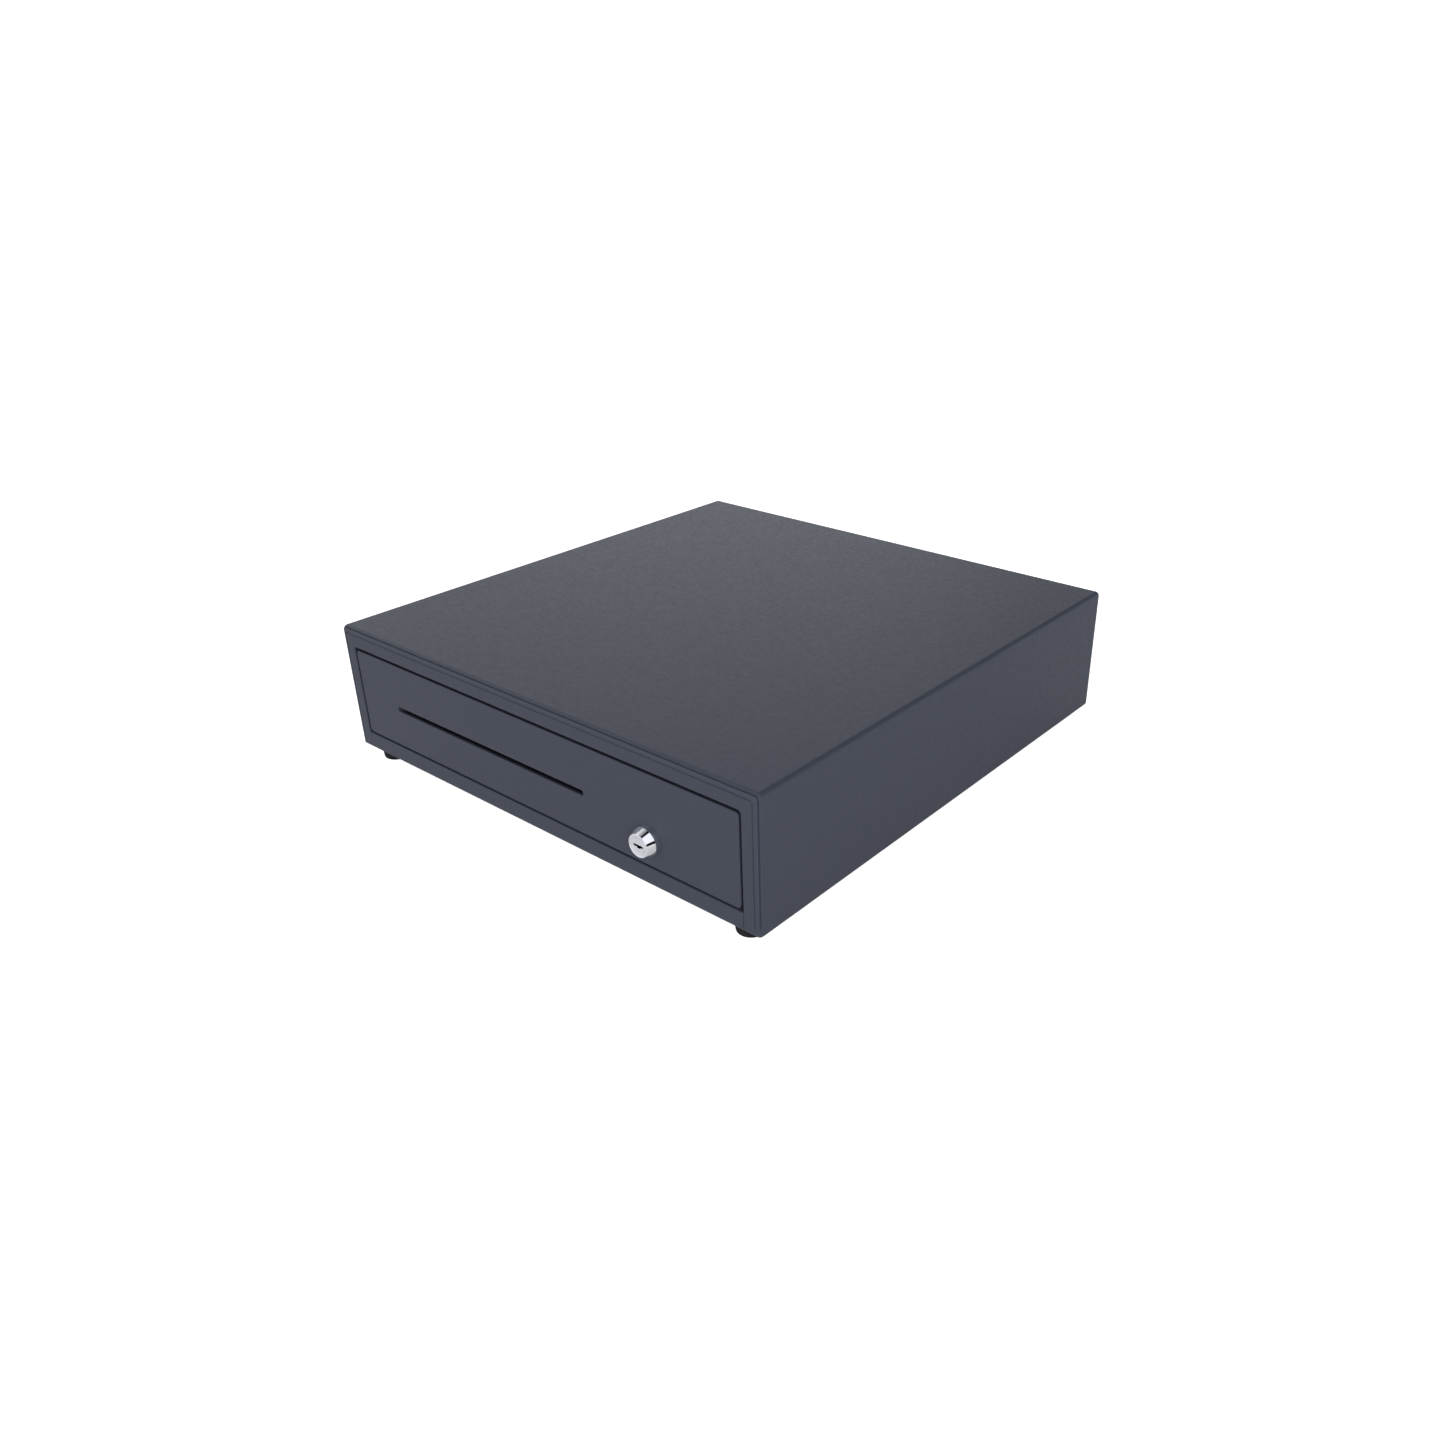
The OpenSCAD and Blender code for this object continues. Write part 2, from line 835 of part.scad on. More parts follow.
// Shelf on the back of the pan, with the slot that the hook drops into
module striker() {
    color(steel_zinc)
        difference() {
            along_x(hook_x - 11, hook_x + 11) {
                patch([y_pan_back, shelf_z - 8], [y_pan_back + bracket_t, shelf_z + 12]);
                patch([y_pan_back, shelf_z], [nose_y + 7, shelf_z + bracket_t]);
            }
            block([hook_x - 3.5, nose_y - 4.4, shelf_z - over], [hook_x + 3.5, nose_y + 4, shelf_z + 3]);
        }
}

/* ---- till ---- */

module till() {
    color(plastic_black)
        difference() {
            block([-till_x, till_y0, ledge_z], [till_x, till_y1, till_z1]);
            block([-till_x + till_wall, till_y0 + till_wall, till_floor],
                  [till_x - till_wall, note_y0 - till_wall, till_z1 + over]);
            for (i = [0 : notes - 1])
                block([-till_x + till_wall + i * note_pitch, note_y0, till_floor],
                      [-till_x + (i + 1) * note_pitch, till_y1 - till_wall, till_z1 + over]);
            block([-till_x + till_wall, note_y0 + 8, ledge_z + divider_h],
                  [till_x - till_wall, till_y1 - till_wall, till_z1 + over]);
            bar_x(-till_x - over, till_x + over, axle_y, axle_z, axle_r);
        }
}

module coin_tray() {
    straight = cup_l / 2;
    color(plastic_black)
        difference() {
            block([-tray_x, tray_y0, till_floor], [tray_x, tray_y1, tray_z1]);
            for (i = [0 : cups_across - 1])
                for (j = [0 : cups_deep - 1])
                    translate([-tray_x + cup_wall + i * (cup_w + cup_wall),
                               tray_y0 + cup_wall + j * (cup_l + cup_wall), 0])
                        along_x(0, cup_w) {
                            translate([straight, till_floor + cup_floor + straight])
                                circle(straight);
                            patch([0, till_floor + cup_floor + straight], [cup_l, tray_z1 + over]);
                        }
        }
}

module clip_axle() {
    color(steel_zinc)
        bar_x(-till_x, till_x, axle_y, axle_z, axle_r);
}

function clip_x(i) = -till_x + till_wall / 2 + (i - 0.5) * note_pitch;

module clip_springs() {
    color(steel_plain)
        for (i = [1 : notes])
            translate([clip_x(i) + clip_w / 2 + 1, axle_y, axle_z])
                rotate([0, 90, 0])
                    coil_spring(clip_coil_r, clip_wire_r, 5, 7);
}

// Sprung arm that holds the notes down, drawn level and dropped on to the floor
module note_clip(i) {
    color(plastic_black)
        translate([clip_x(i), axle_y, axle_z])
            rotate([clip_drop, 0, 0])
                difference() {
                    union() {
                        bar_x(-clip_w / 2, clip_w / 2, 0, 0, clip_hub_r);
                        block([-clip_w / 2, -clip_arm, -clip_bar_t / 2],
                              [clip_w / 2, 0, clip_bar_t / 2]);
                        bar_x(-clip_w / 2, clip_w / 2, -clip_arm, 0, clip_foot_r);
                        for (x = [-clip_w / 2, clip_w / 2 - clip_bar_t])
                            block([x, -clip_arm, -clip_foot_r * 0.6],
                                  [x + clip_bar_t, 0, clip_foot_r * 0.6]);
                    }
                    bar_x(-clip_w, clip_w, 0, 0, axle_r + run_play);
                }
}

/* ---- key lock ---- */

module lock_housing() {
    edge = 0.8;
    color(chrome_bright)
        difference() {
            union() {
                bar_y(y_nose + edge, y_front, lock_x, lock_z, nose_r);
                translate([lock_x, y_nose + edge, lock_z])
                    rotate([90, 0, 0])
                        cylinder(h = edge, r1 = nose_r, r2 = nose_r - edge);
                bar_y(y_front, body_back, lock_x, lock_z, body_r);
            }
            bar_y(y_nose - over, body_back + over, lock_x, lock_z, plug_r + run_play);
        }
}

module lock_nut() {
    color(steel_zinc)
        translate([lock_x, y_pan, lock_z])
            rotate([-90, 0, 0])
                nut(lock_nut_r, lock_nut_t, body_r);
}

module lock_plug() {
    face = y_nose + 0.3;
    color(chrome_bright)
        difference() {
            union() {
                bar_y(face, coupler_y0, lock_x, lock_z, plug_r);
                bar_y(coupler_y0, coupler_y0 + spigot_l, lock_x, lock_z, spigot_r);
            }
            block([lock_x - key_w / 2, face - over, lock_z - key_t / 2],
                  [lock_x + key_w / 2, face + 14, lock_z + key_t / 2]);
            block([lock_x - key_w / 8, face - over, lock_z - key_t],
                  [lock_x + key_w / 4, face + 14, lock_z]);
        }
}

module lock_coupler() {
    color(steel_zinc)
        difference() {
            bar_y(coupler_y0, coupler_y1, lock_x, lock_z, coupler_r);
            bar_y(coupler_y0 - over, coupler_y0 + spigot_l, lock_x, lock_z, spigot_r);
            bar_y(coupler_y0 + spigot_l, coupler_y1 + over, lock_x, lock_z, rod_r);
        }
}

// Long rod under the till, with the finger that lifts the hook
module release_rod() {
    color(steel_zinc) {
        bar_y(coupler_y0 + spigot_l, finger_y0 + finger_t, lock_x, lock_z, rod_r);
        along_y(finger_y0, finger_y0 + finger_t)
            translate([lock_x, lock_z]) {
                circle(finger_r + 1.5);
                patch([-finger_r, 0], [finger_r, finger_reach]);
                translate([0, finger_reach])
                    circle(finger_r);
            }
    }
}

module rod_bush() {
    flange_t = 1.5;
    color(plastic_black)
        difference() {
            union() {
                bar_y(y_pan_back - pan_sheet - flange_t, y_pan_back - pan_sheet,
                      lock_x, lock_z, bush_r + 2);
                bar_y(y_pan_back - pan_sheet, y_pan_back + 1, lock_x, lock_z, bush_r);
            }
            bar_y(y_pan_back - 4, y_pan_back + 3, lock_x, lock_z, rod_r + run_play);
        }
}

/* ---- latch ---- */

// Screws through the bracket's deck into the base plate
module bracket_screws() {
    color(steel_zinc)
        for (at = bracket_screw_at)
            translate([at[0], at[1], deck_z])
                screw(screw_r, bracket_t + sheet + 1.5, head_r, 2.4);
}

// Deck, the two cheeks of the hook pivot, and the tabs for the bumpers and the switch
module latch_bracket() {
    cheek = [
        [deck_y1 - 32, z_case + sheet], [deck_y1, z_case + sheet], [deck_y1, z_case + 38],
        [hook_y + 8, hook_z + 10], [hook_y - 6, spring_top + bracket_t],
        [hook_y - 20, spring_top + bracket_t], [hook_y - 20, hook_z + 16], [hook_y - 10, hook_z + 6]
    ];
    cheek_x = hook_x - cheek_gap / 2 - bracket_t;
    color(steel_plain)
        difference() {
            union() {
                block([deck_x0, deck_y0, z_case + sheet], [deck_x1, deck_y1, deck_z]);
                for (x = [cheek_x, cheek_x + cheek_gap + bracket_t])
                    along_x(x, x + bracket_t)
                        polygon(cheek);
                block([cheek_x, hook_y - 20, spring_top],
                      [hook_x + cheek_gap / 2 + bracket_t, hook_y - 6, spring_top + bracket_t]);
                for (x = bumper_x)
                    block([x - 6.5, deck_y0, z_case + sheet], [x + 6.5, deck_y0 + bracket_t, bumper_z + 8]);
                block([switch_x0 - 1, switch_y1, z_case + sheet],
                      [switch_x1 + 1, switch_y1 + bracket_t, switch_z1 + 2]);
            }
            bar_x(0, hook_x + cheek_gap, hook_y, hook_z, pin_r);
            bar_x(hook_x, hook_x + cheek_gap, lead_y, socket_z, lead_r + 0.5);
            for (at = bracket_screw_at)
                bar_z(z_case, deck_z + over, at[0], at[1], screw_r);
            for (x = bumper_x)
                bar_y(deck_y0 - over, deck_y0 + 2 * bracket_t, x, bumper_z, stud_r);
        }
}

// Rubber buttons that stop the closing drawer, each with a stem in its tab
module closing_bumpers() {
    color(rubber_black)
        for (x = bumper_x) {
            bar_y(y_pan_back + 0.15, deck_y0, x, bumper_z, bumper_r);
            bar_y(deck_y0, deck_y0 + bracket_t + 2, x, bumper_z, stud_r);
        }
}

module hook_pin() {
    half = cheek_gap / 2 + bracket_t;
    color(steel_zinc) {
        bar_x(hook_x - half - 1, hook_x + half + 1, hook_y, hook_z, pin_r);
        bar_x(hook_x - half - 2, hook_x - half, hook_y, hook_z, pin_r + 1.2);
        bar_x(hook_x + half, hook_x + half + 2, hook_y, hook_z, pin_r + 1.2);
    }
}

// Lever with a hook in front, a tail with the magnet's clapper and a bar over the rod's finger
module latch_hook() {
    half = cheek_gap / 2 - hub_play;
    side = [
        [-31, 1], [-31, -6], [-29, -10], [-26.5, -16], [-25, -16], [-25, -6], [-6, -4.4],
        [tail_l - 8, -4], [tail_l, -3.4], [tail_l, 3.4], [0, 4.5]
    ];
    color(steel_zinc)
        difference() {
            union() {
                translate([0, hook_y, hook_z])
                    rotate([-hook_turn, 0, 0]) {
                        along_x(hook_x - hook_t / 2, hook_x + hook_t / 2)
                            polygon(side);
                        bar_x(hook_x - half, hook_x + half, 0, 0, hub_r);
                        block([hook_x, -30, -1.5], [bar_x1, -22, 0.5]);
                    }
                bar_z(hook_z + 3, spring_seat, hook_x, hook_y - spring_off, 3.8);
                bar_z(spring_seat, spring_seat + 5, hook_x, hook_y - spring_off, 2.2);
                block([hook_x - 6, hook_y + 5, clapper_z], [hook_x + 6, hook_y + 16.5, clapper_z + 2]);
            }
            bar_x(0, bar_x1, hook_y, hook_z, pin_r + run_play);
        }
}

// Presses the hook down into the striker
module hook_spring() {
    play = 0.2;
    color(steel_zinc)
        translate([hook_x, hook_y - spring_off, spring_seat + play])
            coil_spring(3.1, 0.4, 6, spring_top - spring_seat - 2 * play);
}

module magnet_frame() {
    y0 = core_y - coil_r - 0.8;
    color(steel_zinc)
        difference() {
            block([hook_x - 13, y0, deck_z], [hook_x + 13, deck_y1, coil_z1 + 2]);
            block([hook_x - 14, y0 - over, coil_z0], [hook_x + 14, deck_y1 - bracket_t, coil_z1]);
            bar_z(coil_z1 - over, coil_z1 + 3, hook_x, core_y, core_r + 0.4);
        }
}

// Wound bobbin with its terminal block
module magnet_coil() {
    flange = 1.2;
    difference() {
        union() {
            color(plastic_black) {
                bar_z(coil_z0, coil_z0 + flange, hook_x, core_y, coil_r);
                bar_z(coil_z1 - flange, coil_z1, hook_x, core_y, coil_r);
                block([hook_x - 2, lead_y - 3, socket_z - 3], [hook_x + 7, core_y - 5, socket_z + 3]);
            }
            color(copper)
                bar_z(coil_z0 + flange, coil_z1 - flange, hook_x, core_y, coil_r - 0.6);
        }
        bar_z(coil_z0 - over, coil_z1 + over, hook_x, core_y, core_r + run_play);
    }
}

// Fixed iron core, whose face pulls the clapper down
module magnet_core() {
    edge = 0.6;
    color(steel_zinc) {
        bar_z(coil_z0, core_top - edge, hook_x, core_y, core_r);
        translate([hook_x, core_y, core_top - edge])
            cylinder(h = edge, r1 = core_r, r2 = core_r - edge);
    }
}

// Two-core lead from the coil to the socket
module magnet_lead() {
    bend_x = socket_x - lead_bend;
    color(plastic_black) {
        bar_x(hook_x + 7, bend_x, lead_y, socket_z, lead_r);
        translate([bend_x, lead_y + lead_bend, socket_z])
            rotate([0, 0, -90])
                rotate_extrude(angle = 90)
                    translate([lead_bend, 0])
                        circle(lead_r);
        bar_y(lead_y + lead_bend, y_panel - socket_l, socket_x, socket_z, lead_r);
    }
}

module pulse_socket() {
    color(plastic_black)
        difference() {
            union() {
                block([socket_x - socket_w / 2, y_panel - socket_l, socket_z - socket_h / 2],
                      [socket_x + socket_w / 2, y_panel, socket_z + socket_h / 2]);
                block([socket_x - 6.4, y_panel, socket_z - 5.4],
                      [socket_x + 6.4, y_panel + 1.5, socket_z + 5.4]);
            }
            block([socket_x - 4.9, y_panel - 11, socket_z - 3.3],
                  [socket_x + 4.9, y_panel + 3, socket_z + 3.3]);
            block([socket_x - 3, y_panel - 8, socket_z - 4.7], [socket_x + 3, y_panel + 3, socket_z]);
        }
}

/* ---- kick-out plunger and switch ---- */

module kick_guide() {
    neck = 6;
    wall = 2;
    color(plastic_black)
        difference() {
            union() {
                bar_y(kick_y0, kick_back, kick_x, kick_z, kick_tube_r);
                block([kick_x - 15, kick_y0, deck_z], [kick_x + 15, kick_back, deck_z + wall]);
                for (y = [kick_y0 + 4, kick_back - 10])
                    block([kick_x - 8, y, deck_z], [kick_x + 8, y + 6, kick_z]);
            }
            bar_y(kick_y0 - over, kick_back - wall, kick_x, kick_z, kick_cup_r);
            bar_y(kick_y0 + neck, kick_back - wall, kick_x, kick_z, kick_bore_r);
        }
}

// Hollow plunger that pushes the drawer out when the hook lets go
module kick_plunger() {
    y0 = y_pan_back + 0.3;
    y1 = kick_back - 3;
    color(plastic_black)
        difference() {
            union() {
                bar_y(y0 + 1.5, y1, kick_x, kick_z, kick_cup_r - run_play);
                translate([kick_x, y0 + 1.5, kick_z])
                    rotate([90, 0, 0])
                        cylinder(h = 1.5, r1 = kick_cup_r - run_play, r2 = kick_cup_r - 1.5);
                bar_y(y1 - 3, y1, kick_x, kick_z, kick_bore_r - 0.1);
            }
            bar_y(y0 + 5, y1 + over, kick_x, kick_z, kick_cup_r - 1.6);
        }
}

module kick_spring() {
    y0 = y_pan_back + 5.5;
    color(steel_zinc)
        translate([kick_x, kick_back - 2.2, kick_z])
            rotate([90, 0, 0])
                coil_spring(4.2, 0.5, 14, kick_back - 2.2 - y0);
}

module switch_body() {
    color(plastic_black)
        difference() {
            union() {
                block([switch_x0, switch_y0, switch_z0], [switch_x1, switch_y1, switch_z1]);
                for (z = [switch_z0, switch_z1 - 1])
                    block([lever_x - 1.5, lever_y - 1.2, z], [lever_x + 1.5, switch_y0, z + 1]);
            }
            bar_z(switch_z0 - over, switch_z1 + over, lever_x, lever_y, 0.65);
        }
}

// Roller lever, pressed back by the closed drawer
module switch_lever() {
    reach = switch_x1 - 1 - lever_x;
    drop = lever_y - (y_pan_back + 0.3 + roller_r);
    lean = atan(drop / reach);
    color(steel_zinc) {
        bar_z(switch_z0 - 0.5, switch_z1 + 0.5, lever_x, lever_y, 0.6);
        translate([lever_x, lever_y, 0])
            rotate([0, 0, -lean])
                block([0, -0.3, switch_z0 + 1.4], [reach / cos(lean), 0.3, switch_z1 - 1.4]);
        bar_z(switch_z0 + 1.6, switch_z1 - 1.6, lever_x + reach, lever_y - drop, roller_r);
    }
}

cover();
base_plate();
rear_panel();
foot(left, y_front + foot_from_end);  // foot_front_left
foot(right, y_front + foot_from_end);  // foot_front_right
foot(left, y_back - foot_from_end);  // foot_rear_left
foot(right, y_back - foot_from_end);  // foot_rear_right
foot_screws();
rear_screws();
base_screws();
bracket_screws();
slide_bracket(left);  // slide_bracket_left
slide_bracket(right);  // slide_bracket_right
slide_outer(left);  // slide_outer_left
slide_outer(right);  // slide_outer_right
closing_bumpers();
latch_bracket();
hook_pin();
hook_spring();
magnet_frame();
magnet_coil();
magnet_core();
magnet_lead();
pulse_socket();
kick_guide();
kick_spring();
switch_body();
drawer_front();
drawer_pan();
slot_chute();
front_nuts();
striker();
slide_inner(left);  // slide_inner_left
slide_inner(right);  // slide_inner_right
slide_screws();
till_ledges();
till();
coin_tray();
clip_axle();
clip_springs();
lock_housing();
lock_nut();
rod_bush();
lock_plug();
lock_coupler();
release_rod();
latch_hook();
kick_plunger();
switch_lever();
slide_middle(left);  // slide_middle_left
slide_middle(right);  // slide_middle_right
outer_cage(left);  // outer_cage_left
outer_cage(right);  // outer_cage_right
inner_cage(left);  // inner_cage_left
inner_cage(right);  // inner_cage_right
note_clip(1);  // note_clip_1
note_clip(2);  // note_clip_2
note_clip(3);  // note_clip_3
note_clip(4);  // note_clip_4
note_clip(5);  // note_clip_5
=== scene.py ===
"""Looks of the cash drawer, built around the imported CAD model."""

import json
import math

import bmesh
import bpy
from mathutils import Matrix, Vector
from mathutils.geometry import tessellate_polygon


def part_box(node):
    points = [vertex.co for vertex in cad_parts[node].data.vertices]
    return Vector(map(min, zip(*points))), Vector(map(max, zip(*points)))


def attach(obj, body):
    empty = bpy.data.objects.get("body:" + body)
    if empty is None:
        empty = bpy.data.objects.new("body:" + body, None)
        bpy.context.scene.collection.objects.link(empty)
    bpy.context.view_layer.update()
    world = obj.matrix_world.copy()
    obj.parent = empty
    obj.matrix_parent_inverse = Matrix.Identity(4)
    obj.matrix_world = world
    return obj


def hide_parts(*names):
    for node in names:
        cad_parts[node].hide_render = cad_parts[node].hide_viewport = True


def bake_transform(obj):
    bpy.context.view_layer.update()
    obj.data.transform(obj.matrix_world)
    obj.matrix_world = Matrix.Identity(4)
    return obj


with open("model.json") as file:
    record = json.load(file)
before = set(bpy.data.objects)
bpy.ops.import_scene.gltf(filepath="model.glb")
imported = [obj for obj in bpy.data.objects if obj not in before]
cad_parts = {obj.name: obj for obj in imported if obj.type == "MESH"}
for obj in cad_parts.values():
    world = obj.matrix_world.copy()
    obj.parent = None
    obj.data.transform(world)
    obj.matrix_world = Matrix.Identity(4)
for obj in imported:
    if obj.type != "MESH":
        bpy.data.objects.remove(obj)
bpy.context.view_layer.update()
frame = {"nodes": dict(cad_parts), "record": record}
NODES = frame["nodes"]
MM = 0.001


# ---------------------------------------------------------------- dimensions, in millimetres

def extent(node):
    """The x, y and z ranges of a CAD node."""
    return [(round(low / MM, 3), round(high / MM, 3)) for low, high in zip(*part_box(node))]


def middle(ends):
    """The middle of a range."""
    return round(sum(ends) / 2, 3)


def mount(name):
    """The place of one of the record's mounts."""
    found = next(item for item in frame["record"]["mounts"] if item["name"] == name)
    return [round(v / MM, 3) for v in found["pos_m"]]


# Case: its outer box, and how far the frame round the opening reaches in from the sides and the top
(_, HALF_W), (Y_FRONT, Y_BACK), (Z_CASE, Z_TOP) = extent("cover")
RIM_SIDE, RIM_TOP = 13.5, 14.3
# Radii of the bends: along the bottom, along the top, in the opening's corners, round the rear edges
BOTTOM_BEND, TOP_BEND, OPENING_BEND, REAR_BEND = 2.5, 3.5, 2.6, 1.5
# Radius of the bead at the front edge, and of the small fold into the opening
RIM_BEAD, LIP_FOLD = 4.5, 0.6
# The lip inside the opening: how far back it runs, and how far its bottom edge lies above the case's
LIP_DEPTH, LIP_RISE = 8.0, 4.0
# The two pressed lines along the bead, and the heights above the bottom edge between which they fade in
LINE_DEPTH, LINE_WIDTH, LINE_FADE = 0.85, 1.6, (4.6, 8.0)
# The case's sides turn in under the base plate, up to this distance from the middle
FLANGE_X = 191.5
# Thickness of the sheets
CASE_SHEET, FRONT_SHEET = 1.0, 1.2

# Drawer front: a little smaller than the CAD one, so that the gap round it shows as dark as a deep one
FRONT_EDGES = extent("drawer_front")
FRONT_X = FRONT_EDGES[0][1] - 0.75
FRONT_LO = FRONT_EDGES[2][0] + 0.7
FRONT_HI = FRONT_EDGES[2][1] - 0.95
# Bend at its edge, radius of its corners, depth of the folds at the sides and of the one on top
FRONT_BEND, FRONT_CORNER, SIDE_FOLD, TOP_FOLD = 0.8, 3.0, 14.0, 26.0
# How far the folds round the gap lean away from it: at the sides, and on top
LEAN, TOP_LEAN = 2.0, 3.1

# Media slot in the drawer front, and its round ends
SLOT_X, _, SLOT_Z = mount("media_slot")
SLOT_LENGTH, SLOT_HEIGHT, SLOT_CORNER = 200.8, 4.0, 1.0

# Lock: its axis, the tip of the nose, the hole for the plug and the threaded barrel
LOCK_X, LOCK_Z = middle(extent("lock_housing")[0]), middle(extent("lock_housing")[2])
Y_NOSE = extent("lock_housing")[1][0]
BORE_R, BARREL_R, BARREL_LENGTH, THREAD_PITCH, THREAD_DEPTH = 5.55, 8.0, 17.0, 0.8, 0.45

# Angles in degrees: edges sharper than the first look crisp, CAD edges sharper than the second are rounded,
# and CAD faces that meet at less than the third become one
CRISP_DEG, BEVEL_DEG, FLAT_DEG = 32, 35, 0.4
# Points nearer to each other than this are joined, in new pieces and in CAD meshes
WELD_NEW, WELD_CAD = 0.001, 0.002


# ---------------------------------------------------------------- light and camera, in metres and degrees

FLOOR_SIZE, FLOOR_DROP, FLOOR_GLOW = 40.0, 0.0002, 0.8
# Strength of the surroundings: low down, high on the left and high on the right
SKY_LOW, SKY_LEFT, SKY_RIGHT = 1.12, 1.08, 0.15
SKY_COLOR = (0.93, 0.96, 1.03, 1)
# Patches of the surroundings: ranges of the direction's x, y and z, then the strength
SKY_PATCHES = (
    ((-1.1, 1.1), (-1.1, -0.42), (0.1, 0.75), 1.0),  # broad light in front
    ((0.22, 2), (-0.4, 0.12), (0.29, 2), 1.0),  # lamp on the right, which the lock shows
    ((-0.04, 0.16), (-0.6, 0.6), (0.8, 2), 0.0),  # dark stripe overhead, above that lamp
    ((0.6, 2), (-0.5, 0.2), (-0.05, 0.26), 0.0),  # dark stripe low on the right, below it
    ((-0.8, -0.5), (0.55, 1), (-0.1, 0.42), 1.15),  # behind on the left, which the top's far corner shows
    ((-0.9, -0.2), (0.3, 1), (0.43, 0.8), 0.55),  # dimmer, above the one behind on the left
    ((-0.47, -0.2), (0.6, 1), (0.2, 0.43), 0.4),  # dimmer, to the right of it
)
# Over how much of a direction a patch fades in and out
PATCH_BLUR = 0.03
CAMERA_PLACE = (0.59378, -0.64614, 0.4491)
CAMERA_AZIMUTH, CAMERA_ELEVATION, CAMERA_ROLL = 39.13, 28.25, -0.22
CAMERA_LENS, CAMERA_SHIFT = 30.433, (-0.0542, 0.0270)


# ---------------------------------------------------------------- materials

class Nodes:
    """Short calls for building a node tree. A value is an output socket or a plain number."""

    def __init__(self, tree):
        self.tree = tree

    def node(self, kind, **settings):
        """Adds a node and sets what it is called with."""
        made = self.tree.nodes.new(kind)
        for key, value in settings.items():
            setattr(made, key, value)
        return made

    def link(self, source, target):
        """Connects an output socket to an input socket."""
        self.tree.links.new(source, target)

    def ramp(self, value, low, high, to_low=0.0, to_high=1.0, smooth=False):
        """Value from low to high becomes a number from to_low to to_high."""
        made = self.node("ShaderNodeMapRange")
        if smooth:
            made.interpolation_type = "SMOOTHSTEP"
        numbers = {"From Min": low, "From Max": high, "To Min": to_low, "To Max": to_high}
        for socket, number in numbers.items():
            made.inputs[socket].default_value = number
        self.link(value, made.inputs["Value"])
        return made.outputs["Result"]

    def math(self, operation, a, b):
        """One step of arithmetic on two values."""
        made = self.node("ShaderNodeMath", operation=operation)
        for socket, value in zip(made.inputs, (a, b)):
            if isinstance(value, (int, float)):
                socket.default_value = value
            else:
                self.link(value, socket)
        return made.outputs[0]

    def towards(self, value, target, mask):
        """Value where the mask is 0, target where it is 1."""
        return self.math("ADD", value, self.math("MULTIPLY", mask, self.math("SUBTRACT", target, value)))


def scaled(color, red, green=None, blue=None):
    """A colour times a factor, or times a factor for each channel."""
    factors = (red, red, red) if green is None else (red, green, blue)
    return [channel * factor for channel, factor in zip(color, factors)]


class Finish(Nodes):
    """A node-built material. Patterns follow the object's own coordinates, in metres."""

    def __init__(self, name, color, roughness, metallic=0.0, ior=1.5, **sockets):
        self.material = bpy.data.materials.new(name)
        self.material.use_nodes = True
        super().__init__(self.material.node_tree)
        self.bsdf = self.tree.nodes["Principled BSDF"]
        self.color, self.roughness = color, roughness
        self.set("Base Color", (*color, 1.0))
        self.set("Roughness", roughness)
        self.set("Metallic", metallic)
        self.set("IOR", ior)
        for socket, value in sockets.items():
            self.set(socket.replace("_", " "), value)
        self.place = self.node("ShaderNodeTexCoord").outputs["Object"]
        self.height = None

    def set(self, socket, value):
        """Sets a plain value on the shader itself."""
        self.bsdf.inputs[socket].default_value = value

    def stretched(self, x=1.0, y=1.0, z=1.0):
        """The coordinates, stretched for a grain that runs one way."""
        mapping = self.node("ShaderNodeMapping")
        mapping.inputs["Scale"].default_value = (x, y, z)
        self.link(self.place, mapping.inputs["Vector"])
        return mapping.outputs["Vector"]

    def noise(self, size, detail=2.0, where=None, roughness=0.5):
        """Cloudy values round 0.5 whose blobs are about size metres across."""
        made = self.node("ShaderNodeTexNoise")
        made.inputs["Scale"].default_value = 1.0 / size
        made.inputs["Detail"].default_value = detail
        made.inputs["Roughness"].default_value = roughness
        self.link(where or self.place, made.inputs["Vector"])
        return made.outputs["Fac"]

    def cells(self, size):
        """A pattern of cells about size metres across."""
        made = self.node("ShaderNodeTexVoronoi")
        made.inputs["Scale"].default_value = 1.0 / size
        self.link(self.place, made.inputs["Vector"])
        return made.outputs

    def tint(self, factor, color):
        """Lays a colour over what the base colour has so far, by factor."""
        mix = self.node("ShaderNodeMix", data_type="RGBA")
        base = self.bsdf.inputs["Base Color"]
        if base.is_linked:
            self.link(base.links[0].from_socket, mix.inputs["A"])
        else:
            mix.inputs["A"].default_value = (*self.color, 1.0)
        mix.inputs["B"].default_value = (*color, 1.0)
        self.link(factor, mix.inputs["Factor"])
        self.link(mix.outputs["Result"], base)

    def vary_roughness(self, value, spread):
        """Moves the roughness up and down by half of spread as value goes from 0.3 to 0.7."""
        self.link(
            self.ramp(value, 0.3, 0.7, self.roughness - spread / 2, self.roughness + spread / 2),
            self.bsdf.inputs["Roughness"],
        )

    def bump(self, value, depth):
        """Adds relief: value 0 to 1 is depth metres."""
        made = self.node("ShaderNodeBump")
        made.inputs["Distance"].default_value = depth
        made.inputs["Strength"].default_value = 1.0
        self.link(value, made.inputs["Height"])
        if self.height is not None:
            self.link(self.height, made.inputs["Normal"])
        self.height = made.outputs["Normal"]
        self.link(self.height, self.bsdf.inputs["Normal"])


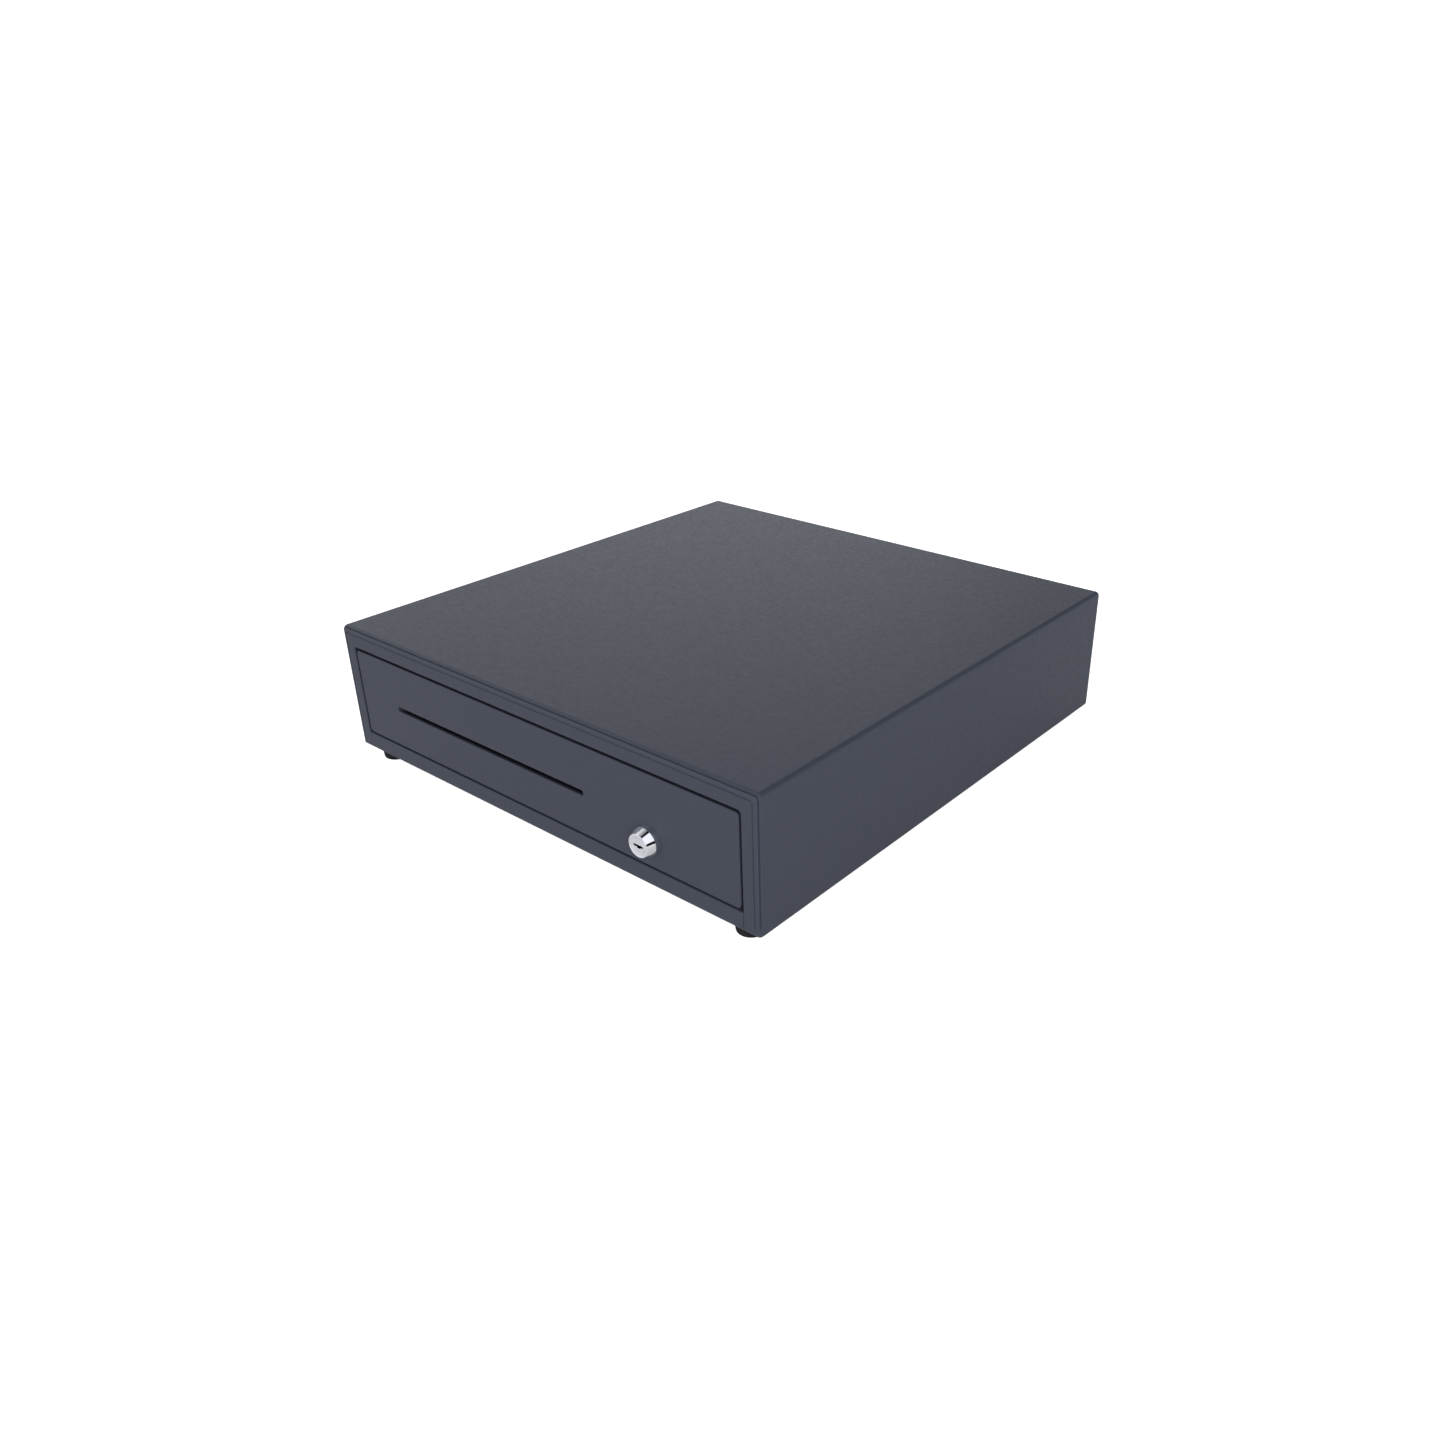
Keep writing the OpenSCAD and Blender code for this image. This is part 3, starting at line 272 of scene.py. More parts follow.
def powder_coat(name, color, roughness, grit):
    """Textured powder paint: faint clouds, light specks, an orange-peel relief with a fine grit."""
    paint = Finish(name, color, roughness, Specular_IOR_Level=0.3)
    paint.tint(paint.ramp(paint.noise(0.3, detail=1), 0.3, 0.7, 0.0, 0.3), scaled(color, 1.12))
    specks = paint.cells(0.0011)
    paint.tint(paint.ramp(specks["Distance"], 0.0, 0.16, 0.35, 0.0), scaled(color, 1.7))
    paint.vary_roughness(paint.noise(0.003, detail=2), 0.1)
    paint.bump(paint.noise(0.0024, detail=1), grit * 3)
    paint.bump(paint.noise(0.0006, detail=2), grit)
    return paint.material


def plated(name, color, roughness, warm=0.25, grain=(1, 1, 1)):
    """Zinc or nickel plate: faint warm and blue clouds, fine rubbing marks."""
    plate = Finish(name, color, roughness, metallic=1.0)
    clouds = plate.noise(0.012, detail=3)
    plate.tint(plate.ramp(clouds, 0.45, 0.75, 0.0, warm), scaled(color, 1.05, 0.97, 0.78))
    blue = plate.noise(0.007, detail=2)
    plate.tint(plate.ramp(blue, 0.5, 0.8, 0.0, warm), scaled(color, 0.8, 0.9, 1.0))
    marks = plate.noise(0.0007, detail=3, where=plate.stretched(*grain))
    plate.vary_roughness(marks, 0.16)
    plate.bump(marks, 0.000012)
    return plate.material


def galvanised_sheet(name, color):
    """Spangles: flat crystals, each a little lighter, darker or smoother than the next."""
    sheet = Finish(name, color, 0.42, metallic=1.0)
    crystals = sheet.cells(0.008)
    sheet.tint(sheet.ramp(crystals["Color"], 0.1, 0.9, 0.0, 0.5), scaled(color, 0.72))
    sheet.link(sheet.ramp(crystals["Color"], 0.0, 1.0, 0.3, 0.52), sheet.bsdf.inputs["Roughness"])
    sheet.bump(sheet.noise(0.0014, detail=4), 0.00002)
    return sheet.material


def moulded(name, color, roughness, grain):
    """Moulded plastic: fine spark-eroded grain, faint flow clouds, dust-light high spots."""
    plastic = Finish(name, color, roughness, ior=1.46)
    clouds = plastic.noise(0.05, detail=3)
    plastic.tint(plastic.ramp(clouds, 0.4, 0.75, 0.0, 0.4), [c * 1.4 + 0.002 for c in color])
    pits = plastic.noise(grain, detail=3, roughness=0.6)
    plastic.tint(plastic.ramp(pits, 0.55, 0.8, 0.0, 0.3), [c * 1.8 + 0.003 for c in color])
    plastic.vary_roughness(plastic.noise(0.02, detail=4), 0.12)
    plastic.bump(pits, grain * 0.09)
    return plastic.material


def rubber_finish():
    """Black rubber with a dull bloom."""
    rubber = Finish("rubber_finish", (0.007, 0.007, 0.0085), 0.75, Specular_IOR_Level=0.3)
    rubber.tint(rubber.ramp(rubber.noise(0.006, detail=4), 0.5, 0.8, 0.0, 0.4), (0.014, 0.014, 0.015))
    rubber.vary_roughness(rubber.noise(0.004, detail=3), 0.16)
    rubber.bump(rubber.noise(0.0005, detail=3), 0.00005)
    return rubber.material


def chrome_finish():
    """Chrome: polished round the side, finely turned and so duller on the face that looks along -Y."""
    chrome = Finish("chrome_finish", (0.95, 0.955, 0.965), 0.14, metallic=1.0)
    haze = chrome.noise(0.003, detail=4)
    chrome.tint(chrome.ramp(haze, 0.5, 0.8, 0.0, 0.3), (0.8, 0.8, 0.82))
    facing = chrome.node("ShaderNodeSeparateXYZ")
    chrome.link(chrome.node("ShaderNodeTexCoord").outputs["Normal"], facing.inputs[0])
    turned = chrome.ramp(facing.outputs["Y"], -0.97, -0.85, 0.35, 0.0)
    polish = chrome.ramp(haze, 0.3, 0.7, 0.05, 0.1)
    chrome.link(chrome.math("ADD", polish, turned), chrome.bsdf.inputs["Roughness"])
    chrome.bump(chrome.noise(0.0016, detail=1), 0.00001)
    return chrome.material


def slide_steel_finish():
    """Rolled strip with drawing lines along the slide and patches of grease."""
    steel = Finish("slide_steel_finish", (0.56, 0.57, 0.59), 0.3, metallic=1.0)
    lines = steel.noise(0.0006, detail=3, where=steel.stretched(1.0, 0.01, 1.0))
    steel.tint(steel.ramp(lines, 0.4, 0.7, 0.0, 0.35), (0.4, 0.41, 0.43))
    grease = steel.ramp(steel.noise(0.02, detail=4), 0.55, 0.66)
    steel.tint(steel.math("MULTIPLY", grease, 0.4), (0.33, 0.29, 0.2))
    steel.vary_roughness(lines, 0.2)
    steel.bump(lines, 0.00001)
    return steel.material


def winding_finish():
    """Lacquered copper wire, with fine lines round the bobbin."""
    copper = (0.36, 0.13, 0.05)
    wire = Finish("winding_finish", copper, 0.3, metallic=0.85, Coat_Weight=0.5, Coat_Roughness=0.15)
    line_spacing = 0.0009
    turns = wire.node("ShaderNodeTexWave", bands_direction="Z")
    turns.inputs["Scale"].default_value = 1 / line_spacing
    wire.link(wire.place, turns.inputs["Vector"])
    wire.tint(wire.ramp(turns.outputs["Fac"], 0.0, 0.6, 0.8, 0.0), (0.09, 0.03, 0.012))
    wire.vary_roughness(wire.noise(0.003), 0.14)
    wire.bump(turns.outputs["Fac"], 0.0001)
    return wire.material


FINISH = {
    "case_paint": powder_coat("case_paint_finish", (0.036, 0.04, 0.055), 0.4, 0.000008),
    "pan_paint": powder_coat("pan_paint_finish", (0.03, 0.0315, 0.037), 0.36, 0.000005),
    "rubber": rubber_finish(),
    "zinc": plated("zinc_finish", (0.62, 0.63, 0.65), 0.3),
    "black_screw": plated("black_screw_finish", (0.045, 0.045, 0.05), 0.36, warm=0.15),
    "galvanised": galvanised_sheet("galvanised_finish", (0.5, 0.51, 0.53)),
    "slide_steel": slide_steel_finish(),
    "spring_steel": plated("spring_steel_finish", (0.45, 0.45, 0.47), 0.28, warm=0.1),
    "winding": winding_finish(),
    "cable": moulded("cable_finish", (0.02, 0.02, 0.022), 0.45, 0.0004),
    "moulded_black": moulded("moulded_black_finish", (0.018, 0.018, 0.02), 0.45, 0.0003),
    "moulded_grey": moulded("moulded_grey_finish", (0.2, 0.2, 0.205), 0.42, 0.0003),
    "till_plastic": moulded("till_plastic_finish", (0.032, 0.032, 0.036), 0.4, 0.00045),
    "clip_plastic": moulded("clip_plastic_finish", (0.045, 0.045, 0.05), 0.34, 0.0003),
    "chrome": chrome_finish(),
    "cage_brass": plated("cage_brass_finish", (0.6, 0.43, 0.17), 0.3, warm=0.2, grain=(1, 0.1, 1)),
}


# ---------------------------------------------------------------- carried-over CAD nodes

def smoothing(name, angle_deg, merge=False):
    """A geometry group that shades faces smooth and keeps edges sharper than the angle crisp.

    merge first joins the CAD mesh's loose triangles and drops the normals it came with.
    """
    tree = bpy.data.node_groups.new(name, "GeometryNodeTree")
    tree.interface.new_socket("Geometry", in_out="INPUT", socket_type="NodeSocketGeometry")
    tree.interface.new_socket("Geometry", in_out="OUTPUT", socket_type="NodeSocketGeometry")
    new, link = tree.nodes.new, tree.links.new
    here = new("NodeGroupInput").outputs[0]
    if merge:
        weld = new("GeometryNodeMergeByDistance")
        weld.inputs["Distance"].default_value = WELD_CAD * MM
        forget = new("GeometryNodeRemoveAttribute")
        forget.inputs["Name"].default_value = "custom_normal"
        link(here, weld.inputs["Geometry"])
        link(weld.outputs["Geometry"], forget.inputs["Geometry"])
        here = forget.outputs["Geometry"]
    faces = new("GeometryNodeSetShadeSmooth")
    edges = new("GeometryNodeSetShadeSmooth")
    edges.domain = "EDGE"
    angle = new("GeometryNodeInputMeshEdgeAngle")
    sharp = new("FunctionNodeCompare")
    sharp.inputs["B"].default_value = math.radians(angle_deg)
    link(angle.outputs["Unsigned Angle"], sharp.inputs["A"])
    gentle = new("FunctionNodeBooleanMath")
    gentle.operation = "NOT"
    link(sharp.outputs["Result"], gentle.inputs[0])
    link(here, faces.inputs["Geometry"])
    link(faces.outputs["Geometry"], edges.inputs["Geometry"])
    link(gentle.outputs[0], edges.inputs["Shade Smooth"])
    link(edges.outputs["Geometry"], new("NodeGroupOutput").inputs[0])
    return tree


CLEAN = smoothing("clean_mesh", BEVEL_DEG, merge=True)
SHADE = smoothing("shade_by_angle", CRISP_DEG)


def group_modifier(obj, tree):
    """Adds a geometry group to an object."""
    obj.modifiers.new(tree.name, "NODES").node_group = tree


def bevel(obj, width, segments, angle_deg):
    """Rounds the edges sharper than the angle, by width millimetres."""
    edge = obj.modifiers.new("edge", "BEVEL")
    edge.width = width * MM
    edge.segments = segments
    edge.limit_method = "ANGLE"
    edge.angle_limit = math.radians(angle_deg)


def shade(obj):
    """Smooth shading with crisp edges, in which flat faces stay flat."""
    group_modifier(obj, SHADE)
    obj.modifiers.new("even", "WEIGHTED_NORMAL").keep_sharp = True


def soften(obj, width):
    """Rounds the sharp edges of a CAD node by width millimetres, with modifiers only."""
    group_modifier(obj, CLEAN)
    flat = obj.modifiers.new("flat", "DECIMATE")
    flat.decimate_type = "DISSOLVE"
    flat.angle_limit = math.radians(FLAT_DEG)
    if width:
        bevel(obj, width, 2, BEVEL_DEG)
    shade(obj)


# Width of the rounded edges in millimetres, and the nodes that have it; the others stay sharp
EDGE_WIDTHS = {
    0.12: "base_plate foot_screws rear_screws base_screws bracket_screws slide_screws",
    0.15: "lock_plug",
    0.2: "magnet_core",
    0.25: "rear_panel drawer_pan slot_chute till_ledges front_nuts hook_pin slide_outer_left "
          "slide_outer_right slide_middle_left slide_middle_right slide_inner_left slide_inner_right",
    0.3: "slide_bracket_left slide_bracket_right latch_bracket latch_hook magnet_frame striker kick_plunger "
         "switch_body pulse_socket lock_nut lock_coupler release_rod rod_bush clip_axle",
    0.4: "kick_guide closing_bumpers note_clip_1 note_clip_2 note_clip_3 note_clip_4 note_clip_5",
    0.5: "till coin_tray",
}


def dress_cad_nodes():
    """Gives every CAD node the finish that its material slot names, and its rounded edges."""
    width_of = {node: width for width, nodes in EDGE_WIDTHS.items() for node in nodes.split()}
    for name, obj in NODES.items():
        slot = obj.material_slots[0]
        slot.material = FINISH[slot.material.name.split(".")[0]]
        soften(obj, width_of.get(name, 0.0))


dress_cad_nodes()


# ---------------------------------------------------------------- new pieces

def arc(centre_u, centre_v, radius, start_deg, end_deg, steps):
    """Points on an arc in a plane, both ends included."""
    turns = [math.radians(start_deg + (end_deg - start_deg) * i / steps) for i in range(steps + 1)]
    return [(centre_u + radius * math.cos(t), centre_v + radius * math.sin(t)) for t in turns]


def skin(rings, closed=False, caps=False):
    """Quads between rings that hold the same number of points, in millimetres."""
    bm = bmesh.new()
    rows = [[bm.verts.new(Vector(p) * MM) for p in ring] for ring in rings]
    count = len(rings[0])
    for near, far in zip(rows, rows[1:]):
        for i in range(count if closed else count - 1):
            k = (i + 1) % count
            bm.faces.new((near[i], near[k], far[k], far[i]))
    if caps:
        bm.faces.new(rows[0][::-1])
        bm.faces.new(rows[-1])
    bmesh.ops.remove_doubles(bm, verts=bm.verts, dist=WELD_NEW * MM)
    return bm


def piece(name, bm, body, slot, stands_for=(), thickness=0.0, edge=0.0):
    """Makes an object of the mesh: sheet thickness grows inward, edges get rounded, both in millimetres.

    It rides on the body, if one is given, and stands for the CAD nodes in stands_for.
    """
    if not thickness:
        bmesh.ops.recalc_face_normals(bm, faces=bm.faces)
    mesh = bpy.data.meshes.new(name)
    bm.to_mesh(mesh)
    bm.free()
    obj = bpy.data.objects.new(name, mesh)
    bpy.context.scene.collection.objects.link(obj)
    if thickness:
        sheet = obj.modifiers.new("sheet", "SOLIDIFY")
        sheet.thickness = thickness * MM
        sheet.offset = -1
    if edge:
        bevel(obj, edge, 3, 50)
    shade(obj)
    mesh.materials.append(FINISH[slot])
    if body:
        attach(obj, body)
    if stands_for:
        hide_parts(*stands_for)
    return obj


def case_ring(side, top, bottom, y, dig=(0.0, 0.0), stops=(), flange=FLANGE_X):
    """Outline of the case seen from the front, moved in by side, top and bottom.

    dig moves it inward and back, except near the bottom edge. stops are extra points on the bottom flange,
    which ends at flange from the middle.
    """
    left, low = -HALF_W + side, Z_CASE + bottom
    low_r = min(max(BOTTOM_BEND - side, 0.5), -flange - left)
    in_opening = side > 10
    high_r = (OPENING_BEND + RIM_SIDE - side if in_opening else max(TOP_BEND - side, 0.9)) - dig[0]
    fade_from, fade_to = (Z_CASE + height for height in LINE_FADE)
    flat = [(min(max(x, left + low_r), -flange), low) for x in (-flange, *stops)]
    foot = flat + arc(left + low_r, low + low_r, low_r, 270, 180, 6) + [(left, fade_from)]
    left, high = left + dig[0], Z_TOP - top - dig[0]
    body = [(left, fade_to)] + arc(left + high_r, high - high_r, high_r, 180, 90, 8)
    half = [(x, y, z) for x, z in foot] + [(x, y + dig[1], z) for x, z in body]
    return half + [(-x, y, z) for x, y, z in reversed(half)]


def line_depth(along):
    """Depth of the two pressed lines, at a distance along the skin from where the bead starts to bend."""
    quarter_bead = RIM_BEAD * math.pi / 2
    lines = (-0.3, 0.53 * quarter_bead)
    near = min(abs(along - line) for line in lines)
    return LINE_DEPTH * math.cos(math.pi * near / LINE_WIDTH) ** 2 if near < LINE_WIDTH / 2 else 0.0


def bottom_rise(y):
    """How far the bottom edge has curved up at y, near the front."""
    ahead = max(BOTTOM_BEND - (y - Y_FRONT), 0.0)
    return BOTTOM_BEND - math.sqrt(BOTTOM_BEND ** 2 - ahead ** 2)


def make_cover():
    """Wrap-over case: a sheet skin from the lip round the opening, over the bead, to the rear flange."""
    lip = [(RIM_SIDE - LEAN, RIM_TOP - LEAN, LIP_RISE, Y_FRONT + LIP_DEPTH)]
    for d, y in arc(-LIP_FOLD, Y_FRONT + LIP_FOLD, LIP_FOLD, 0, -90, 6):
        lip.append((RIM_SIDE + d, RIM_TOP + d, BOTTOM_BEND, y))
    front = []
    for tenths in range(-12, 0):
        along = tenths / 10
        front.append((RIM_BEAD - along, RIM_BEAD - along, BOTTOM_BEND, Y_FRONT, (0.0, line_depth(along))))
    bead_steps = 60
    bead = []
    for i in range(bead_steps + 1):
        turn = math.pi / 2 * i / bead_steps
        across, along, dig = math.sin(turn), math.cos(turn), line_depth(RIM_BEAD * turn)
        inward, y = RIM_BEAD - RIM_BEAD * across, Y_FRONT + RIM_BEAD - RIM_BEAD * along
        bead.append((inward, inward, bottom_rise(y), y, (dig * across, dig * along)))
    side = [(0.0, 0.0, 0.0, y) for y in (Y_FRONT + 8, Y_FRONT + 60, 0.0, Y_BACK - 40, Y_BACK - REAR_BEND)]
    stops = [-HALF_W + at[0] + 0.5 for at in lip[-1:] + front] + [-HALF_W + RIM_BEAD + 0.5]
    rings = [case_ring(*at, stops=stops) for at in lip + front + bead + side]
    rear = arc(REAR_BEND, Y_BACK - REAR_BEND, REAR_BEND, 180, 90, 5)[1:]
    for d, y in rear + [(10, Y_BACK)]:
        rings.append(case_ring(d, d, 0.0, y, stops=stops, flange=HALF_W - max(d, BOTTOM_BEND) - 0.2))
    piece("case_cover", skin(rings), "housing", "case_paint", ["cover"], thickness=CASE_SHEET)


def flat_with_holes(bm, outer, holes, y):
    """Fills an outline in the plane y, with holes left open. Returns the outline's vertices."""
    loops = [[Vector((x, z, 0)) for x, z in loop] for loop in (outer, *holes)]
    verts = [bm.verts.new(Vector((p.x, y, p.y)) * MM) for loop in loops for p in loop]
    for triangle in tessellate_polygon(loops):
        bm.faces.new([verts[i] for i in triangle])
    return verts[:len(outer)]


def rounded_box(x0, z0, x1, z1, radius, steps):
    """Anticlockwise outline with round corners."""
    points = []
    for cx, cz, start in ((x1 - radius, z0 + radius, 270), (x1 - radius, z1 - radius, 0),
                          (x0 + radius, z1 - radius, 90), (x0 + radius, z0 + radius, 180)):
        points += arc(cx, cz, radius, start, start + 90, steps)
    return points


def front_outline(inset_x, low, high, radius):
    """Outline of the drawer front, moved in at the sides, with its lowest and highest edge."""
    return rounded_box(-FRONT_X + inset_x, low, FRONT_X - inset_x, high, radius, 6)


def make_drawer_front():
    """Dished sheet: flat front with the slot and the lock hole, edges folded back, the top one furthest."""
    bm = bmesh.new()
    rows = []
    for d, y in arc(FRONT_BEND, Y_FRONT + FRONT_BEND, FRONT_BEND, 270, 180, 6):
        rows.append((front_outline(d, FRONT_LO + d, FRONT_HI - d, max(FRONT_CORNER - d, 0.6)), y))
    fold_top = FRONT_HI - TOP_LEAN
    rows.append((front_outline(LEAN, FRONT_LO, fold_top, FRONT_CORNER), Y_FRONT + SIDE_FOLD))
    slot = rounded_box(SLOT_X - SLOT_LENGTH / 2, SLOT_Z - SLOT_HEIGHT / 2,
                       SLOT_X + SLOT_LENGTH / 2, SLOT_Z + SLOT_HEIGHT / 2, SLOT_CORNER, 4)
    hole = arc(LOCK_X, LOCK_Z, BARREL_R, 0, 360, 48)[:-1]
    near = flat_with_holes(bm, rows[0][0], [slot[::-1], hole[::-1]], Y_FRONT)
    for outline, y in rows[1:]:
        far = [bm.verts.new(Vector((x, y, z)) * MM) for x, z in outline]
        for i in range(len(far)):
            k = (i + 1) % len(far)
            bm.faces.new((near[i], near[k], far[k], far[i]))
        near = far
    top = [v for v in near if v.co.z > (fold_top - FRONT_CORNER - 0.1) * MM]
    fold = [bm.verts.new((v.co.x, (Y_FRONT + TOP_FOLD) * MM, v.co.z)) for v in top]
    for i in range(len(top) - 1):
        bm.faces.new((top[i], top[i + 1], fold[i + 1], fold[i]))
    bmesh.ops.recalc_face_normals(bm, faces=bm.faces)
    if max(bm.faces, key=lambda face: face.calc_area()).normal.y > 0:
        bmesh.ops.reverse_faces(bm, faces=bm.faces)
    piece("drawer_face", bm, "drawer", "case_paint", ["drawer_front"], thickness=FRONT_SHEET, edge=0.25)


def lathe(profile, origin, axis="Y", steps=72):
    """Turns a closed outline of (radius, position) pairs about the Y or Z axis through origin."""
    rings = []
    for radius, at in profile + profile[:1]:
        ring = []
        for u, v in arc(0, 0, radius, 0, 360, steps)[:-1]:
            offset = (u, at, v) if axis == "Y" else (u, v, at)
            ring.append([a + b for a, b in zip(origin, offset)])
        rings.append(ring)
    return skin(rings, closed=True)


def make_lock_nose():
    """Chromed nose: raised rim round a sunk face, tapered side, and the threaded barrel behind the panel."""
    back = Y_FRONT + BARREL_LENGTH
    profile = [(BORE_R, back), (BORE_R, Y_NOSE + 0.5), (5.75, Y_NOSE + 0.3), (7.3, Y_NOSE + 0.3)]
    profile += [(7.45, Y_NOSE + 0.08), (7.6, Y_NOSE)] + arc(7.95, Y_NOSE + 0.35, 0.35, -90, -20, 4)
    profile += [(10.45, Y_NOSE + 5.5), (10.6, Y_NOSE + 6.1), (10.6, Y_FRONT - 0.9)]
    profile += [(10.35, Y_FRONT - 0.7), (10.35, Y_FRONT), (BARREL_R, Y_FRONT), (BARREL_R, Y_FRONT + 1.5)]
    for i in range(18):
        root = Y_FRONT + 2.0 + i * THREAD_PITCH
        profile += [(BARREL_R - THREAD_DEPTH, root), (BARREL_R, root + THREAD_PITCH / 2)]
    profile += [(BARREL_R - 0.7, back)]
    piece("lock_nose", lathe(profile, (LOCK_X, 0, LOCK_Z), steps=96), "drawer", "chrome", ["lock_housing"])


def make_feet():
    """Rubber feet: rounded tread with two grip rings, a moulded line round the side, a hole for the screw."""
    profile = [(2.0, 10.0), (2.0, 5.0), (4.7, 5.0), (5.0, 4.7), (5.0, 0.5), (5.3, 0.1), (5.7, 0.0)]
    for r in (6.3, 7.5):
        profile += [(r, 0.0), (r + 0.15, 0.35), (r + 0.45, 0.35), (r + 0.6, 0.0)]
    profile += arc(8.5, 1.5, 1.5, -90, 0, 6)
    profile += [(10.35, 5.2), (10.05, 5.45), (10.05, 5.75), (10.45, 6.0)]
    profile += [(10.9, 9.0), (11.3, 9.25), (11.3, 9.85), (11.15, 10.0)]
    for side in ("left", "right"):
        for end in ("front", "rear"):
            node = f"foot_{end}_{side}"
            xs, ys, _ = extent(node)
            shape = lathe(profile, (middle(xs), middle(ys), 0), "Z")
            piece(f"rubber_{node}", shape, "housing", "rubber", [node])


def tube(path, radius):
    """Round wire along a path of points."""
    sides = 10
    rings, normal = [], None
    points = [Vector(p) for p in path]
    for i, point in enumerate(points):
        along = (points[min(i + 1, len(points) - 1)] - points[max(i - 1, 0)]).normalized()
        if normal is None:
            normal = along.orthogonal().normalized()
        normal = (normal - along * normal.dot(along)).normalized()
        other = along.cross(normal)
        rings.append([point + (normal * math.cos(2 * math.pi * k / sides)
                               + other * math.sin(2 * math.pi * k / sides)) * radius for k in range(sides)])
    return skin(rings, closed=True, caps=True)


def coil(start, end, radius, wire, turns):
    """Path of a compression spring with a closed turn at each end. wire is the wire's radius."""
    per_turn = 24
    start, end = Vector(start), Vector(end)
    along = (end - start).normalized()
    length = (end - start).length
    u = along.orthogonal().normalized()
    v = along.cross(u)
    closed = 2.1 * wire
    path = []
    for i in range(turns * per_turn + 1):
        turn = i / per_turn
        if turn < 1:
            rise = closed * turn
        elif turn > turns - 1:
            rise = length - closed * (turns - turn)
        else:
            rise = closed + (length - 2 * closed) * (turn - 1) / (turns - 2)
        angle = 2 * math.pi * turn
        path.append(start + along * rise + (u * math.cos(angle) + v * math.sin(angle)) * radius)
    return path


def spring(name, node, start, end, radius, wire, turns):
    """A wound spring from start to end, which stands for a CAD node."""
    shape = tube(coil(start, end, radius, wire, turns), wire)
    return piece(name, shape, None, "spring_steel", [node])


def make_springs():
    """The springs of the kicker and the hook, each stretched between the case and the part it pushes."""
    seat = 0.1
    xs, ys, zs = extent("kick_spring")
    start = (middle(xs), ys[1] - seat, middle(zs))
    end = (middle(xs), ys[0] + seat, middle(zs))
    kick = spring("kick_coil", "kick_spring", start, end, 4.2, 0.5, 14)
    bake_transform(kick)

    wire = 0.4
    xs, ys, (low, high) = extent("hook_spring")
    x, y = middle(xs), middle(ys)
    hook = spring("hook_coil", "hook_spring", (x, y, high - wire), (x, y, low + wire), 3.1, wire, 6)
    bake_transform(hook)


def prism(bm, outline, x0, x1):
    """Adds a block with an outline of (y, z) points from x0 to x1."""
    ends = [[bm.verts.new(Vector((x, y, z)) * MM) for y, z in outline] for x in (x0, x1)]
    bm.faces.new(ends[0])
    bm.faces.new(ends[1][::-1])
    for i in range(len(outline)):
        bm.faces.new((ends[0][i - 1], ends[0][i], ends[1][i], ends[1][i - 1]))


def make_bobbin(x, y, low, high):
    """A moulded spool on the magnet's core, with a terminal block: two posts and the bridge between them."""
    flange = 1.2
    spool = [(4.1, low), (4.1, high), (8.7, high), (9.0, high - 0.3), (9.0, high - 1.0), (8.7, high - flange)]
    spool += [(5.2, high - flange), (5.2, low + flange)]
    spool += [(8.7, low + flange), (9.0, low + 1.0), (9.0, low + 0.3), (8.7, low)]
    moulding = lathe(spool, (x, y, 0), "Z")
    face, root = extent("magnet_coil")[1][0], y - 5.0
    base, top = high - 7.0, high - 1.0
    post = [(root, base), (root, top), (face + 2.2, top), (face, top - 1.6), (face, base)]
    bridge = [(root, base), (root, top - 1.0), (face + 1.2, top - 2.0), (face + 1.2, base)]
    prism(moulding, post, x - 2.0, x + 1.5)
    prism(moulding, post, x + 3.5, x + 7.0)
    prism(moulding, bridge, x + 1.5, x + 3.5)
    piece("bobbin", moulding, "housing", "moulded_black", ["magnet_coil"])


def make_winding(x, y, low, high):
    """Real turns of wire between the spool's flanges."""
    pitch, turns, inner, outer = 0.5, 50, 5.3, 8.32
    wound = [(inner, low), (8.0, low)]
    for i in range(turns):
        start = low + i * pitch
        wound += [(8.1, start), (outer, start + pitch * 0.3), (outer, start + pitch * 0.7)]
    wound += [(8.1, high), (inner, high)]
    piece("winding", lathe(wound, (x, y, 0), "Z"), "housing", "winding")


def make_magnet_coil():
    """Wire wound on a bobbin, round the core of the magnet."""
    x, y = middle(extent("magnet_frame")[0]), middle(extent("magnet_core")[1])
    low, high = extent("magnet_coil")[2]
    make_bobbin(x, y, low, high)
    make_winding(x, y, low + 1.3, high - 1.2)


def make_socket_contacts():
    """Six sprung wires slanting through the mouth of the printer socket."""
    count, pitch, wire = 6, 1.02, 0.22
    xs, (_, back), zs = extent("pulse_socket")
    bent = [(-10.1, 2.7), (-8.9, 2.6), (-5.9, 1.7), (-3.3, 0.8), (-2.9, 0.9)]
    bm = bmesh.new()
    for i in range(count):
        x = middle(xs) + (i - (count - 1) / 2) * pitch
        contact = tube([(x, back + dy, middle(zs) + dz) for dy, dz in bent], wire)
        mesh = bpy.data.meshes.new("contact")
        contact.to_mesh(mesh)
        bm.from_mesh(mesh)
        contact.free()
        bpy.data.meshes.remove(mesh)
    piece("socket_contacts", bm, "housing", "cage_brass")


make_cover()
make_drawer_front()
make_lock_nose()
make_feet()
make_springs()
make_magnet_coil()
make_socket_contacts()


# ---------------------------------------------------------------- stage, lights and camera

def placed(name, data, place, turn=None):
    """Adds an object to the scene at a place, with a turn given as a quaternion."""
    obj = bpy.data.objects.new(name, data)
    bpy.context.scene.collection.objects.link(obj)
    obj.location = place
    if turn is not None:
        obj.rotation_mode = "QUATERNION"
        obj.rotation_quaternion = turn
    return obj


